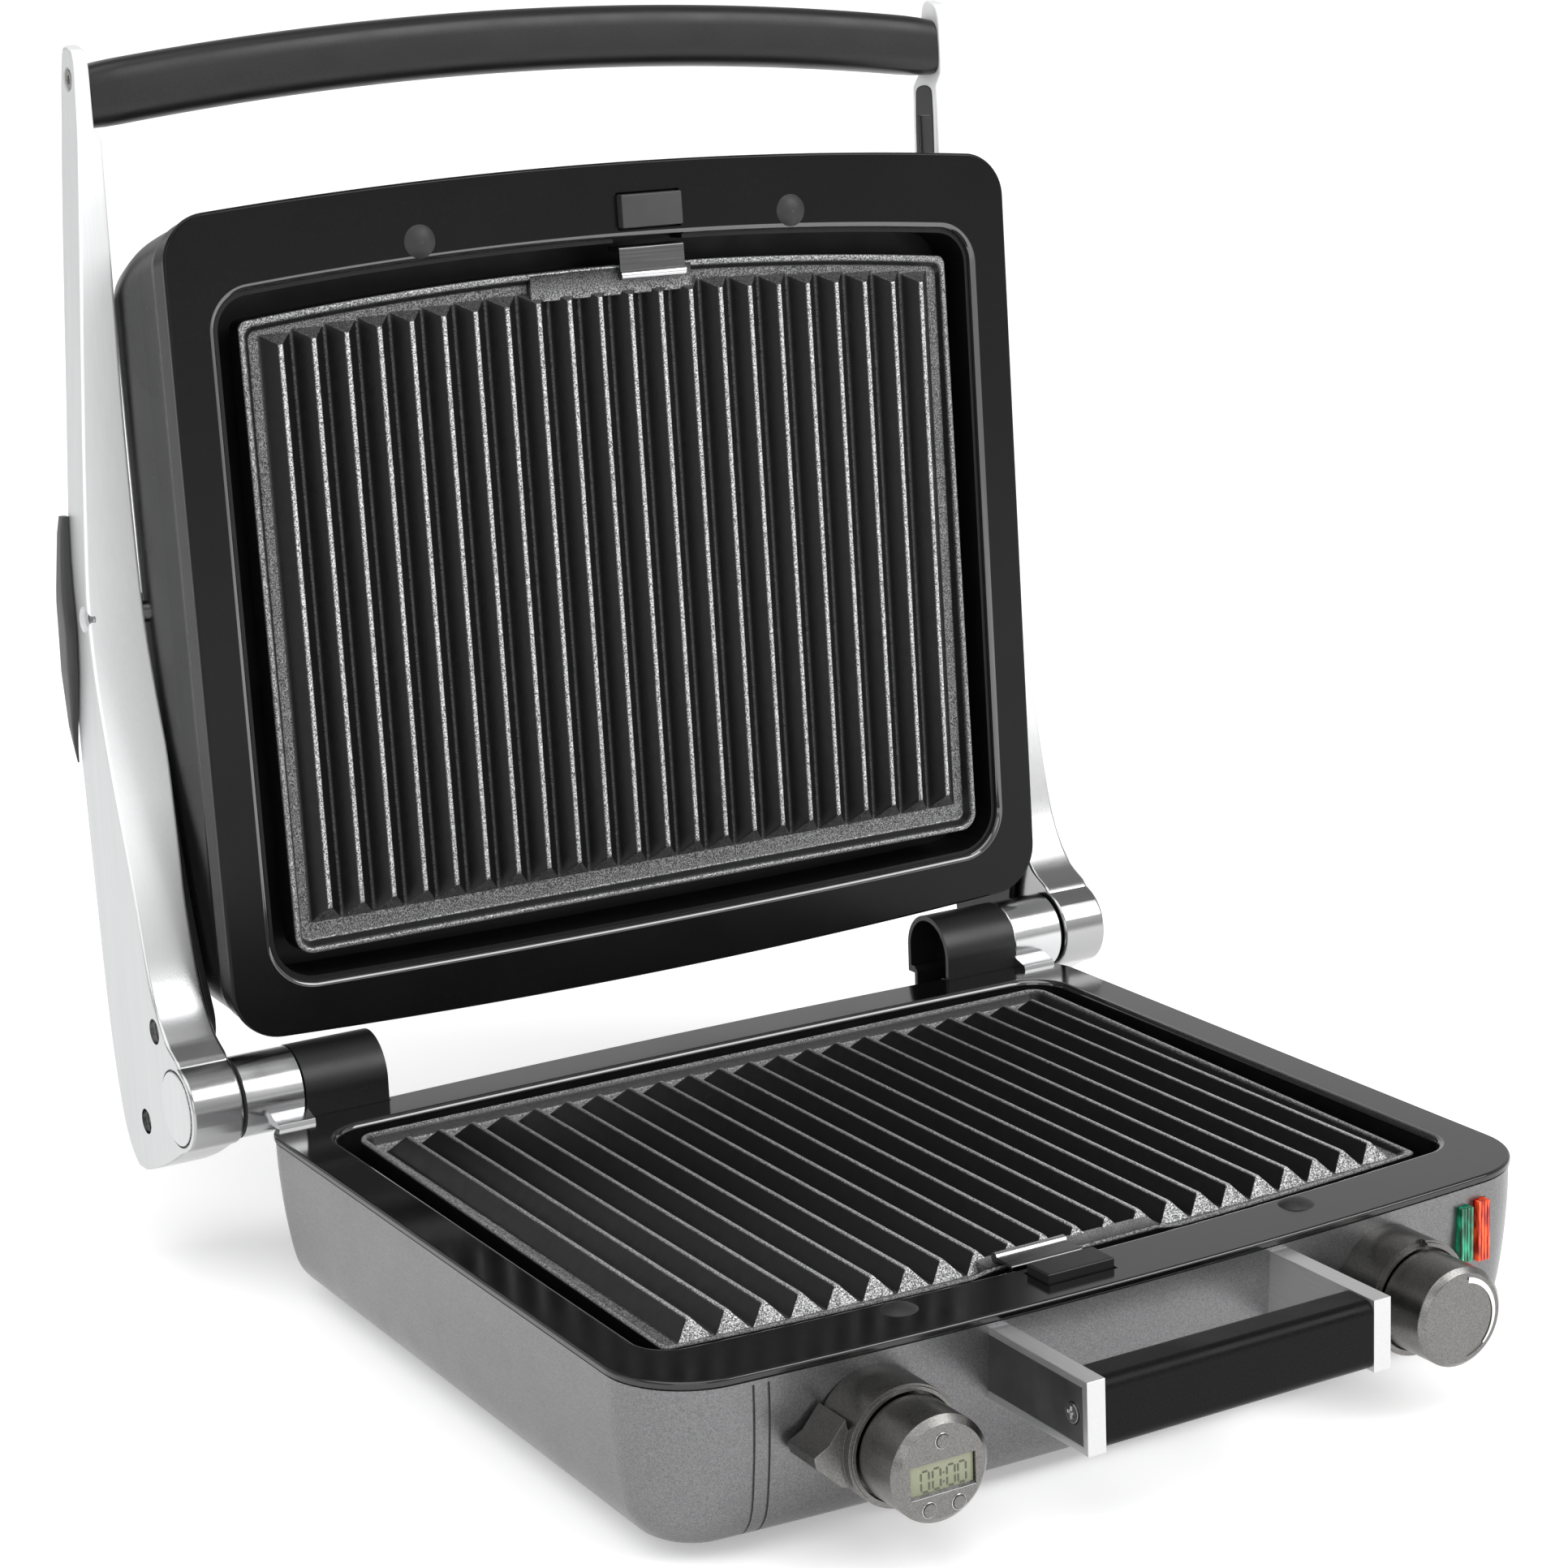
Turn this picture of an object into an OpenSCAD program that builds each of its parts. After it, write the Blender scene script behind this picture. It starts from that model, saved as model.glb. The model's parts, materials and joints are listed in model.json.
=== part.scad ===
// Open contact grill (panini press) with two ribbed plates, two arms and a floating lid.
// X runs across the front, Y to the back, Z up from the worktop.

/* [Base] */
// Width of the base at its top frame
base_w = 340; // [330:1:350]
// Depth of the base at its sides
base_d = 292; // [288:1:296]
// Height of the base's top frame above the worktop
top_z = 62; // [60:1:66]
// Thickness of the painted casing
wall = 2.5; // [2:0.1:3]
// Forward bow of the clip-side edge
bow_front = 8; // [6:0.5:9]
// Bow of the hinge-side edge
bow_rear = 5; // [4:0.5:5.5]

/* [Lid] */
// Depth of the lid frame at its sides
lid_d = 289; // [286:1:290]
// Radius of the lid's front corners
lid_corner = 14; // [12:1:20]
// Lean of the open lid past upright, in degrees
lean = 2.5; // [1:0.5:4]
// Distance from the hinge axis to the lid frame
lid_gap = 20; // [19.5:0.5:22]

/* [Plates] */
// Number of ribs on each plate
rib_count = 22; // [18:1:22]
// Distance from rib to rib
rib_pitch = 12.55; // [12.2:0.05:12.6]
// Height of a rib
rib_h = 6; // [5:0.5:6.5]

/* [Hinge] */
// Height of the hinge axis above the worktop
hinge_z = 70; // [69.5:0.5:71]
// Radius of the hinge posts
post_r = 15; // [14:0.5:15]
// Radius of the hinge pins
pin_r = 5; // [4:0.5:5.5]
// Radial running clearance of the pins
fit = 0.05; // [0.03:0.01:0.08]

/* [Knobs] */
// Distance of each knob from the middle
knob_x = 97.5; // [94:0.5:99]
// Height of the knobs
knob_z = 36; // [34:0.5:37]
// Radius of the knobs
knob_r = 16.7; // [16:0.1:17]

/* [Hidden] */
$fn = 64;
half_w = base_w / 2;
base_y = -15.5;
hinge_y = base_d / 2 + 13.4;
leg_y = hinge_y + 10.5;
face = 2.7;
open_x = half_w - 16.5;
open_rear = 19;
open_front = 27.5;
rim_gap = 8;
plate_x = open_x - rim_gap;
post_in = 120.3;
post_out = 152;
collar_out = 175.6;
arm_in = 176;
tilt_v = 170;
tilt_h = -52;
clip_x = 16;
bar_v = 352.5;

// ---- helpers ----

// Parabolic bow of an edge at x
function bow(x, half, h) = h * (1 - (x / half) * (x / half));

// Rounded outline whose two long edges bow outwards, hinge side at y0
function outline_pts(half, y0, y1, r0, r1, b0, b1, n = 7, m = 14) = concat(
  [for (i = [0 : m]) let (x = -half + r0 + i * 2 * (half - r0) / m) [x, y0 - bow(x, half, b0)]],
  [for (i = [1 : n]) let (a = -90 + i * 90 / n, x = half - r0 + r0 * cos(a))
    [x, y0 + r0 + r0 * sin(a) - bow(x, half, b0)]],
  [for (i = [0 : n - 1]) let (a = i * 90 / n, x = half - r1 + r1 * cos(a))
    [x, y1 - r1 + r1 * sin(a) + bow(x, half, b1)]],
  [for (i = [0 : m]) let (x = half - r1 - i * 2 * (half - r1) / m) [x, y1 + bow(x, half, b1)]],
  [for (i = [1 : n]) let (a = 90 + i * 90 / n, x = -half + r1 + r1 * cos(a))
    [x, y1 - r1 + r1 * sin(a) + bow(x, half, b1)]],
  [for (i = [0 : n - 1]) let (a = 180 + i * 90 / n, x = -half + r0 + r0 * cos(a))
    [x, y0 + r0 + r0 * sin(a) - bow(x, half, b0)]]
);

// Outer outline of one half of the press, inset all round
module outer(d, inset = 0, rear = 0, corner = 27) {
  polygon(outline_pts(half_w - inset, inset + rear, d - inset, max(16 - inset, 4),
    max(corner - inset, 6), bow_rear, bow_front));
}

// Outline of the plate opening, inset all round; b is the bow of its hinge side
module opening(d, inset = 0, b = 2) {
  polygon(outline_pts(open_x - inset, open_rear + inset, d - open_front - inset,
    max(15 - inset, 3), max(11 - inset, 3), b, bow_front));
}

// A flat slice used to loft the shells
module slice(z, d, inset, rear = 0, corner = 27) {
  translate([0, 0, z]) linear_extrude(0.02) outer(d, inset, rear, corner);
}

// Catmull-Rom point between p1 and p2
function spline(p0, p1, p2, p3, t) = 0.5 * (2 * p1 + (p2 - p0) * t
  + (2 * p0 - 5 * p1 + 4 * p2 - p3) * t * t + (3 * p1 - p0 - 3 * p2 + p3) * t * t * t);

// Closed smooth curve through points
function closed(p, n) = let (m = len(p)) [for (i = [0 : m - 1]) for (j = [0 : n - 1])
  spline(p[(i + m - 1) % m], p[i], p[(i + 1) % m], p[(i + 2) % m], j / n)];

// Places a half drawn from its hinge side onto the base
module on_base() {
  translate([0, base_y, 0]) children();
}

// Turns a half so that its clip side faces the front, face up at the frame's height
module base_half() {
  on_base() translate([0, base_d / 2, top_z]) rotate([0, 0, 180]) children();
}

// Hinge frame of the arms: Y away from the axis, Z out of the plates' side
module arm_frame() {
  translate([0, base_y + hinge_y, hinge_z]) rotate([90 - lean, 0, 0]) children();
}

// Frame of the lid half, face at z = 0
module lid_half() {
  arm_frame() translate([0, lid_gap, face]) children();
}

// A bar along X
module rod(x0, x1, r) {
  translate([x0, 0, 0]) rotate([0, 90, 0]) cylinder(h = x1 - x0, r = r);
}

// A bar along Y that starts at the origin
module rod_y(h, r) {
  rotate([-90, 0, 0]) cylinder(h = h, r = r);
}

// ---- parts shared by the two halves ----

// Black frame plate around a grill plate, with its button and clip cut-outs
module frame_plate(d, skirt, grow = 0, corner = 27) {
  difference() {
    union() {
      translate([0, 0, -2.4]) linear_extrude(2.4) outer(d, -grow, grow, corner);
      translate([0, 0, -3]) linear_extrude(0.65) difference() {
        outer(d, 1.2 - grow, grow, corner);
        outer(d, skirt - grow, grow, corner);
      }
    }
    translate([0, 0, -4]) linear_extrude(6) opening(d, -grow);
    translate([clip_x - 13.1, d - 15.2, -4]) cube([26.2, 13.8, 6]);
    translate([clip_x - 14.3, d - 24, -4]) cube([28.6, 6.4, 6]);
    for (s = [-1, 1]) translate([s * 76, d - 13, -4]) cylinder(h = 6, r = 3);
  }
}

// Well that surrounds a plate
module well(d, depth) {
  difference() {
    union() {
      translate([0, 0, -4.4]) linear_extrude(2) opening(d, -6);
      translate([0, 0, -depth]) linear_extrude(depth - 3) opening(d, -2);
    }
    translate([0, 0, -depth + 1.5]) linear_extrude(depth) opening(d);
    translate([clip_x - 14.3, d - 24, -11]) cube([28.6, 6.8, 11]);
    translate([clip_x - 14.8, d - 17, -7]) cube([29.6, 16, 8]);
    for (s = [-1, 1]) translate([s * 60, 60, -depth - 1]) cylinder(h = 4, r = 4);
  }
  for (x = [-128, 128]) for (y = [80, d - 80])
    translate([x, y, -depth + 1.4]) cylinder(h = depth - 13.4, r = 6);
}

// One rib: narrow crest, sloping flanks and hipped ends
module rib(y0, y1) {
  h = rib_pitch / 2 - 0.6;
  intersection() {
    translate([0, y1 + 1, -5.6]) rotate([90, 0, 0]) linear_extrude(y1 - y0 + 2)
      polygon([[-h, 0], [-0.7, rib_h], [0.7, rib_h], [h, 0], [h, -1], [-h, -1]]);
    translate([-h - 1, 0, 0]) rotate([90, 0, 90]) linear_extrude(2 * h + 2)
      polygon([[y0, -6.6], [y0, -5.6], [y0 + 5.5, 0.5], [y1 - 3.6, 0.5], [y1, -5.6], [y1, -6.6]]);
  }
}

// Ribbed non-stick plate with its rim, walls and clip ledge
module grill_plate(d) {
  y0 = open_rear + rim_gap;
  y1 = d - open_front - rim_gap;
  difference() {
    translate([0, 0, -12]) linear_extrude(11.2) opening(d, rim_gap, 0);
    difference() {
      translate([0, 0, -5.6]) linear_extrude(8) opening(d, rim_gap + 2.6, 0);
      translate([-33, y1 - 3, -9]) cube([66, 14, 7]);
    }
    translate([-200, y1 - 3.5, -3.6]) cube([167, 20, 8]);
    translate([33, y1 - 3.5, -3.6]) cube([167, 20, 8]);
    translate([clip_x - 14, y1 + 4, -2.8]) cube([28, 20, 8]);
  }
  for (i = [0 : rib_count - 1]) let (x = (i - (rib_count - 1) / 2) * rib_pitch)
    translate([x, 0, 0]) rib(y0 + 10.5, y1 - 7.4 + bow(x, open_x, bow_front));
}

// Tubular heater: a loop open at the hinge side whose ends turn down to the terminals
module heater(d) {
  z = -15.6;
  r = 3.2;
  translate([-85, d - 75, z]) rod(0, 170, r);
  for (s = [-1, 1]) {
    translate([s * 115, 85, z]) rod_y(d - 190, r);
    translate([s * 85, d - 105, z]) mirror([s < 0 ? 1 : 0, 0, 0])
      rotate_extrude(angle = 90) translate([30, 0]) circle(r);
    translate([s * 90, 85, z]) mirror([s < 0 ? 1 : 0, 0, 0]) rotate([0, 0, -90])
      rotate_extrude(angle = 90) translate([25, 0]) circle(r);
    translate([s * 60, 60, z]) mirror([s < 0 ? 1 : 0, 0, 0]) rod(0, 30, r);
    translate([s * 60, 60, -30]) cylinder(h = 30 + z, r = 3);
    translate([s * 60, 60, z]) sphere(r = 3.2);
  }
}

// Two rubber bumper domes
module bumpers(d) {
  for (s = [-1, 1]) translate([s * 76, d - 13, 0]) {
    translate([0, 0, -2.3]) cylinder(h = 2.4, r = 2.9);
    intersection() {
      translate([0, 0, -8]) sphere(r = 10);
      cylinder(h = 5, r = 6.2);
    }
  }
}

// Plate release button, its cap proud of the frame
module release_button(d) {
  translate([clip_x - 12.5, d - 14.4, -5]) cube([25, 12.2, 8.4]);
  translate([clip_x - 11, d - 12.4, -10]) cube([22, 8.2, 5.2]);
  translate([clip_x - 14.5, d - 16.2, -6.2]) cube([29, 15.6, 1.4]);
}

// Polished clip that holds the plate's ledge
module plate_clip(d) {
  translate([clip_x - 13.5, d - 31.5, 0.2]) rod(0, 27, 1.5);
  translate([clip_x - 13.5, d - 31.5, -0.6]) cube([27, 10.5, 1.6]);
  translate([clip_x - 13.5, d - 22.8, -9]) cube([27, 1.8, 9]);
}

// ---- base ----

module base_casing() {
  color("silver") difference() {
    union() {
      base_half() difference() {
        hull() {
          slice(-3.02, base_d, 0.6);
          slice(-15, base_d, 0.9);
          slice(-32, base_d, 2.4);
          slice(-47, base_d, 5);
          slice(-54, base_d, 9);
          slice(-57, base_d, 13);
        }
        hull() {
          slice(0, base_d, 0.6 + wall);
          slice(-15, base_d, 0.9 + wall);
          slice(-32, base_d, 2.4 + wall);
          slice(-47, base_d, 5 + wall);
          slice(-54, base_d, 9 + wall);
          slice(-58, base_d, 13 + wall);
        }
      }
    }
    on_base() {
      for (s = [-1, 1]) translate([s * knob_x, -base_d / 2 - 20, knob_z]) {
        rod_y(40, 8);
        rod_y(15.9, 19.35);
      }
      for (s = [-1, 1]) translate([s * 53.25 - 3.35, -base_d / 2 - 20, 34.4]) cube([6.7, 40, 23.7]);
      translate([131, -base_d / 2 - 20, 34]) cube([5, 40, 19]);
      translate([138.2, -base_d / 2 - 20, 33]) cube([5, 40, 21]);
      for (s = [-1, 1]) for (z = [30, 48]) translate([s * 136, base_d / 2 - 12, z]) rod_y(30, 2);
      translate([60, base_d / 2 - 12, 26]) rod_y(30, 8.05);
    }
    on_base() for (x = [-136, -131]) translate([x - 0.3, -base_d / 2 - 6.4, 4])
      cube([0.6, 3.2, 53]);
  }
}

module base_bottom() {
  color("dimgray") base_half() difference() {
    union() {
      translate([0, 0, -57]) linear_extrude(2.4) outer(base_d, 16);
      translate([0, 0, -55]) linear_extrude(6) difference() {
        outer(base_d, 17);
        outer(base_d, 19);
      }
    }
    for (x = [-135, 135]) for (y = [38, base_d - 38]) translate([x, y, -60]) cylinder(h = 8, r = 4);
    for (i = [-4 : 4]) translate([i * 16 - 2, base_d / 2 - 40, -60]) cube([4, 80, 8]);
  }
}

module rubber_feet() {
  color("black") base_half() for (x = [-135, 135]) for (y = [38, base_d - 38])
    translate([x, y, -top_z]) {
      cylinder(h = 5, r1 = 10, r2 = 11);
      cylinder(h = 9, r = 4);
    }
}

module base_bezel() {
  color("black") difference() {
    base_half() frame_plate(base_d, 3.1);
    on_base() for (s = [-1, 1]) translate([s * 136 - 16.2, base_d / 2 - 2, top_z - 4])
      cube([32.4, 20, 6]);
  }
}

module lower_tray() {
  color("dimgray") base_half() well(base_d, 26);
}

module lower_plate() {
  color("darkslategray") base_half() grill_plate(base_d);
}

module lower_element() {
  color("gray") base_half() heater(base_d);
}

module thermostat() {
  color("lightgray") on_base() translate([knob_x, 0, knob_z]) {
    translate([-14, -142, -11]) cube([28, 15, 22]);
    translate([0, -181.6, 0]) rod_y(41, 3);
    translate([0, -148, 0]) rod_y(7, 6);
  }
}

// Ring on the casing behind a knob
module collar_ring() {
  difference() {
    union() {
      translate([0, -169, 0]) rod_y(24.6, 19.3);
      translate([0, -170, 0]) rod_y(2, 18.6);
    }
    translate([0, -171, 0]) rod_y(8, knob_r + 0.6);
    translate([0, -171, 0]) rod_y(40, 7);
    translate([-30, -150.2, -30]) cube([60, 10, 60]);
  }
}

module knob_collar_left() {
  color("gray") on_base() translate([-knob_x, 0, knob_z]) {
    collar_ring();
    difference() {
      translate([0, -166, 0]) rotate([-90, 0, 0]) linear_extrude(15.4)
        polygon([[-14, 11], [-20, 9], [-28.5, 1], [-29, -2.5], [-24, -5], [-18, -12]]);
      translate([0, -171, 0]) rod_y(30, 19.2);
    }
  }
}

module knob_collar_right() {
  color("gray") on_base() translate([knob_x, 0, knob_z]) difference() {
    collar_ring();
    translate([-2.5, -171, 17.4]) cube([5, 4, 4]);
  }
}

// Turned body of a knob, face at y = -190
module knob_body(chamfer) {
  rotate([90, 0, 0]) rotate_extrude() polygon([[0, 170], [knob_r - 0.4, 170], [knob_r, 170.6],
    [knob_r, 190 - chamfer], [knob_r - chamfer, 190], [0, 190]]);
}

module thermostat_knob() {
  color("dimgray") on_base() translate([knob_x, 0, knob_z]) difference() {
    knob_body(1.8);
    translate([0, -181.9, 0]) rod_y(20, 3 + fit);
    difference() {
      translate([0, -190.2, 0]) rod_y(0.6, 13.4);
      translate([-1.2, -191, 0]) rod_y(3, 13);
      translate([-20, -192, -20]) cube([22, 4, 40]);
    }
  }
}

module timer_head() {
  color("dimgray") on_base() translate([-knob_x, 0, knob_z]) difference() {
    union() {
      knob_body(2.2);
      translate([0, -170.2, 0]) rod_y(14, 6.5);
    }
    translate([-11.2, -191, -6.9]) cube([22.4, 3.4, 10.3]);
    translate([0, -191, 9.4]) rod_y(4.5, 2.15);
    for (s = [-1, 1]) translate([s * 5.1, -191, -11]) rod_y(4.5, 2.15);
  }
}

module timer_screen() {
  color("darkkhaki") on_base() translate([-knob_x - 11, -188.8, knob_z - 6.7])
    cube([22, 1.1, 9.9]);
}

// One push-button of the timer
module timer_key(x, z) {
  color("gray") on_base() translate([-knob_x + x, 0, knob_z + z]) {
    translate([0, -190.6, 0]) rod_y(2.6, 2.1);
  }
}

module timer_button_top() {
  timer_key(0, 9.4);
}

module timer_button_left() {
  timer_key(-5.1, -11);
}

module timer_button_right() {
  timer_key(5.1, -11);
}

// Vertical light lens with fine ribs across it
module light_lens(x, w, z0, z1) {
  on_base() translate([x, 0, 0]) difference() {
    translate([0, -150.6, z0]) cube([w, 8, z1 - z0]);
    for (i = [1 : 3]) translate([i * w / 4 - 0.2, -151, z0 - 1]) cube([0.4, 0.8, z1 - z0 + 2]);
  }
}

module light_green() {
  color("green") light_lens(131.1, 4.8, 34.1, 52.9);
}

module light_red() {
  color("red") light_lens(138.3, 4.8, 33.1, 53.9);
}

// Side bracket of the front handle
module handle_bracket(s) {
  color("silver") on_base() mirror([s < 0 ? 1 : 0, 0, 0]) difference() {
    translate([50, -204.5, 34.5]) cube([6.5, 62, 23.5]);
    translate([55.3, -202, 37]) cube([3, 52, 18.5]);
    translate([40, -196.7, 46]) rod(0, 30, 2);
  }
}

module handle_bracket_left() {
  handle_bracket(-1);
}

module handle_bracket_right() {
  handle_bracket(1);
}

module handle_side_covers() {
  color("dimgray") on_base() for (s = [0, 1]) mirror([s, 0, 0]) difference() {
    translate([55.35, -201.9, 37.1]) cube([1.1, 51.2, 18.3]);
    translate([50, -196.7, 46]) rod(0, 10, 3.4);
  }
}

module front_handle_bar() {
  color("black") on_base() difference() {
    translate([-49.9, 0, 0]) rotate([90, 0, 90]) linear_extrude(99.8) hull() {
      for (y = [-200.5, -193]) for (z = [39, 53.5]) translate([y, z]) circle(r = 4);
    }
    for (s = [0, 1]) mirror([s, 0, 0]) translate([38, -196.7, 46]) rod(0, 12.5, 1.6);
  }
}

module handle_screws() {
  color("silver") on_base() for (s = [0, 1]) mirror([s, 0, 0]) translate([0, -196.7, 46])
    difference() {
      union() {
        rod(39, 56, 1.6);
        rod(55.3, 57, 3.2);
      }
      translate([56.4, -2, -0.4]) cube([2, 4, 0.8]);
      translate([56.4, -0.4, -2]) cube([2, 0.8, 4]);
    }
}

module lower_button() {
  color("black") base_half() release_button(base_d);
}

module lower_clip() {
  color("silver") base_half() plate_clip(base_d);
}

module lower_bumpers() {
  color("black") base_half() bumpers(base_d);
}

// Hinge post: round top, straight legs, hollow inner end
module hinge_post(s) {
  color("dimgray") on_base() mirror([s < 0 ? 1 : 0, 0, 0]) difference() {
    translate([post_in, 0, 0]) rotate([90, 0, 90]) linear_extrude(post_out - post_in) {
      translate([hinge_y, hinge_z]) circle(r = post_r);
      translate([hinge_y - post_r, 59.2]) square([2 * post_r, hinge_z - 59.2]);
      translate([base_d / 2 + 3.2, 22]) square([leg_y - base_d / 2 - 3.2, 38]);
    }
    translate([post_in - 1, 0, 0]) rotate([90, 0, 90]) linear_extrude(14) {
      translate([hinge_y, hinge_z]) circle(r = post_r - 2);
      translate([hinge_y - post_r + 2, 62]) square([2 * post_r - 4, hinge_z - 62]);
      translate([base_d / 2 + 6, 30]) square([leg_y - base_d / 2 - 8, 33]);
    }
    translate([0, hinge_y, hinge_z]) rod(post_in, post_out + 1, pin_r + fit);
    for (z = [30, 48]) translate([136, base_d / 2, z]) rod_y(40, 2.2);
    for (z = [30, 48]) translate([136, leg_y - 3, z]) rod_y(5, 4);
  }
}

module hinge_post_left() {
  hinge_post(-1);
}

module hinge_post_right() {
  hinge_post(1);
}

// Chrome collar of the hinge, with the foot that comes down on the corner of the base
module hinge_collar(s) {
  color("silver") on_base() mirror([s < 0 ? 1 : 0, 0, 0]) difference() {
    union() {
      translate([0, hinge_y, hinge_z]) rotate([0, 90, 0]) rotate_extrude()
        polygon([[pin_r + fit, post_out], [14, post_out], [14.8, post_out + 0.8],
          [14.8, collar_out - 1.2], [14, collar_out], [pin_r + fit, collar_out]]);
      translate([post_out, 0, 0]) rotate([90, 0, 90]) linear_extrude(14)
        polygon([[hinge_y - 22, 62], [hinge_y - 21.6, 63.6], [hinge_y - 14, 66],
          [hinge_y - 8, 70], [hinge_y - 4, 60], [hinge_y - 10.5, 59.2], [hinge_y - 10.5, 62]]);
    }
    translate([0, hinge_y, hinge_z]) rod(post_out - 1, collar_out + 1, pin_r + fit);
  }
}

module hinge_collar_left() {
  hinge_collar(-1);
}

module hinge_collar_right() {
  hinge_collar(1);
}

module hinge_screws() {
  color("silver") on_base() for (s = [-1, 1]) for (z = [30, 48])
    translate([s * 136, leg_y - 3, z]) {
      translate([0, -32, 0]) rod_y(32, 2);
      difference() {
        rod_y(2.4, 3.8);
        translate([-2.4, 1.5, -0.4]) cube([4.8, 2, 0.8]);
        translate([-0.4, 1.5, -2.4]) cube([0.8, 2, 4.8]);
      }
    }
}

module cord_gland() {
  color("black") on_base() translate([60, base_d / 2, 26]) difference() {
    union() {
      translate([0, -8, 0]) rod_y(14, 8);
      translate([0, 5, 0]) rod_y(3, 10.5);
      translate([0, 5, 0]) rod_y(16, 6);
    }
    translate([0, -10, 0]) rod_y(40, 3.6);
  }
}

// ---- arms ----

// Side outline of an arm, starting at the front of the hinge
ARM = [[15, 5], [24, -7], [42, -17.5], [83, -26.5], [119, -36], [150, -44], [178, -48],
  [239, -48.6], [304, -45], [352, -43], [366, -43.6], [369.6, -48], [368.5, -55],
  [345, -60], [319, -62.4], [233, -66], [150, -66.4], [88, -66], [35, -65.4], [5, -63.4],
  [-19, -58.4], [-30.5, -50], [-32.6, -41], [-26, -20], [-18, -2], [-9, 12]];

// Outline of an arm seen from the front: thick at the hinge, a thin plate at the handle
module arm_front() {
  polygon([[arm_in, -40], [195.2, -40], [195.2, 120], [194.6, 150], [193.2, 180], [190.8, 210],
    [187.6, 250], [184.2, 300], [181.4, 340], [180, 375], [174.9, 375], [174.9, 340.4],
    [172.4, 339.6], [172.4, 120], [arm_in, 70]]);
}

module arm(s) {
  color("gainsboro") arm_frame() mirror([s < 0 ? 1 : 0, 0, 0]) difference() {
    intersection() {
      translate([170, 0, 0]) rotate([90, 0, 90]) linear_extrude(30) {
        polygon(closed(ARM, 4));
        circle(r = 16);
      }
      translate([0, 0, -80]) linear_extrude(110) arm_front();
    }
    translate([172, 0, 0]) rotate([90, 0, 90]) linear_extrude(2.95) offset(0.15)
      polygon(closed(LINER, 4));
    rod(170, 193.2, pin_r);
    rod(193, 200, 14);
    translate([0, tilt_v, tilt_h]) rod(160, 192.2, 4);
    translate([0, tilt_v, tilt_h]) rod(190, 200, 4.4);
    translate([0, 359, -50]) rod(160, 200, 2);
    translate([0, 359, -50]) rod(178.4, 200, 4);
    translate([0, 25, -16]) rod(160, 200, 2);
    translate([0, 25, -16]) rod(191, 200, 4.4);
    translate([0, -12.5, -34]) rod(160, 200, 2);
    translate([0, -12.5, -34]) rod(191, 200, 4.4);
    if (s < 0) translate([0, 196, -58]) rod(180, 200, 2.5 + fit);
  }
}

module arm_left() {
  arm(-1);
}

module arm_right() {
  arm(1);
}

// Outline of the black cover on the inner face of an arm
LINER = [[74, -30], [119, -39], [150, -47], [178, -50.5], [239, -51], [304, -47.5],
  [330, -46.5], [337, -48], [337, -57], [330, -59], [304, -60.5], [233, -63.5],
  [150, -64], [88, -63.5], [60, -63], [35, -62.6], [5, -60.6], [-17, -55.6], [-26, -48.5],
  [-27.5, -41], [-18, -26], [-4, -20], [12, -18.5], [26, -15], [42, -21]];

// Black cover on the inner face of an arm
module arm_liner(s) {
  color("black") arm_frame() mirror([s < 0 ? 1 : 0, 0, 0]) difference() {
    translate([172.2, 0, 0]) rotate([90, 0, 90]) linear_extrude(2.7) polygon(closed(LINER, 4));
    rod(170, 180, 15.9);
    translate([171, 296, -57]) cube([2, 30, 8.5]);
    translate([0, tilt_v, tilt_h]) rod(170, 180, 4.6);
  }
}

module arm_liner_left() {
  arm_liner(-1);
}

module arm_liner_right() {
  arm_liner(1);
}

module hinge_pins() {
  color("silver") arm_frame() for (s = [0, 1]) mirror([s, 0, 0]) rod(134.6, 193, pin_r);
}

module pivot_caps() {
  color("gainsboro") arm_frame() for (s = [0, 1]) mirror([s, 0, 0]) rod(193.2, 195.8, 13.5);
}

// Socket-head screw in an arm
module arm_screw(x0, x1, v, h, r) {
  translate([0, v, h]) difference() {
    union() {
      rod(x0, x1 + 0.1, 2);
      rod(x1, x1 + 2, r);
    }
    translate([x1 + 1, 0, 0]) rotate([0, 90, 0]) cylinder(h = 3, r = 1.6, $fn = 6);
  }
}

module arm_screws() {
  color("silver") arm_frame() for (s = [0, 1]) mirror([s, 0, 0]) {
    arm_screw(165, 178.4, 359, -50, 3.4);
    arm_screw(177, 191, 25, -16, 3.9);
    arm_screw(177, 191, -12.5, -34, 3.9);
  }
}

// Half-height of the handle bar's arch at x
function arch(x) = bar_v + 11.5 * (1 - (x / 175) * (x / 175));

// Section of the handle bar, 16 points round a rounded block
function bar_section(i) = let (a = i * 22.5, c = cos(a), s = sin(a))
  [sign(c) * pow(abs(c), 0.6) * 11.5, sign(s) * pow(abs(s), 0.6) * 10.4];

module lid_handle_bar() {
  n = 28;
  color("black") arm_frame() difference() {
    polyhedron(
      points = [for (k = [0 : n]) let (x = -174.7 + k * 349.4 / n) for (i = [0 : 15])
        let (q = bar_section(i)) [x, arch(x) + q[0], -53.6 + q[1]]],
      faces = concat(
        [[for (i = [0 : 15]) i]],
        [[for (i = [0 : 15]) n * 16 + 15 - i]],
        [for (k = [0 : n - 1]) for (i = [0 : 15])
          [k * 16 + i, (k + 1) * 16 + i, (k + 1) * 16 + (i + 1) % 16]],
        [for (k = [0 : n - 1]) for (i = [0 : 15])
          [k * 16 + i, (k + 1) * 16 + (i + 1) % 16, k * 16 + (i + 1) % 16]]
      ));
    for (s = [0, 1]) mirror([s, 0, 0]) translate([0, 359, -50]) rod(164, 176, 2);
  }
}

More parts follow.
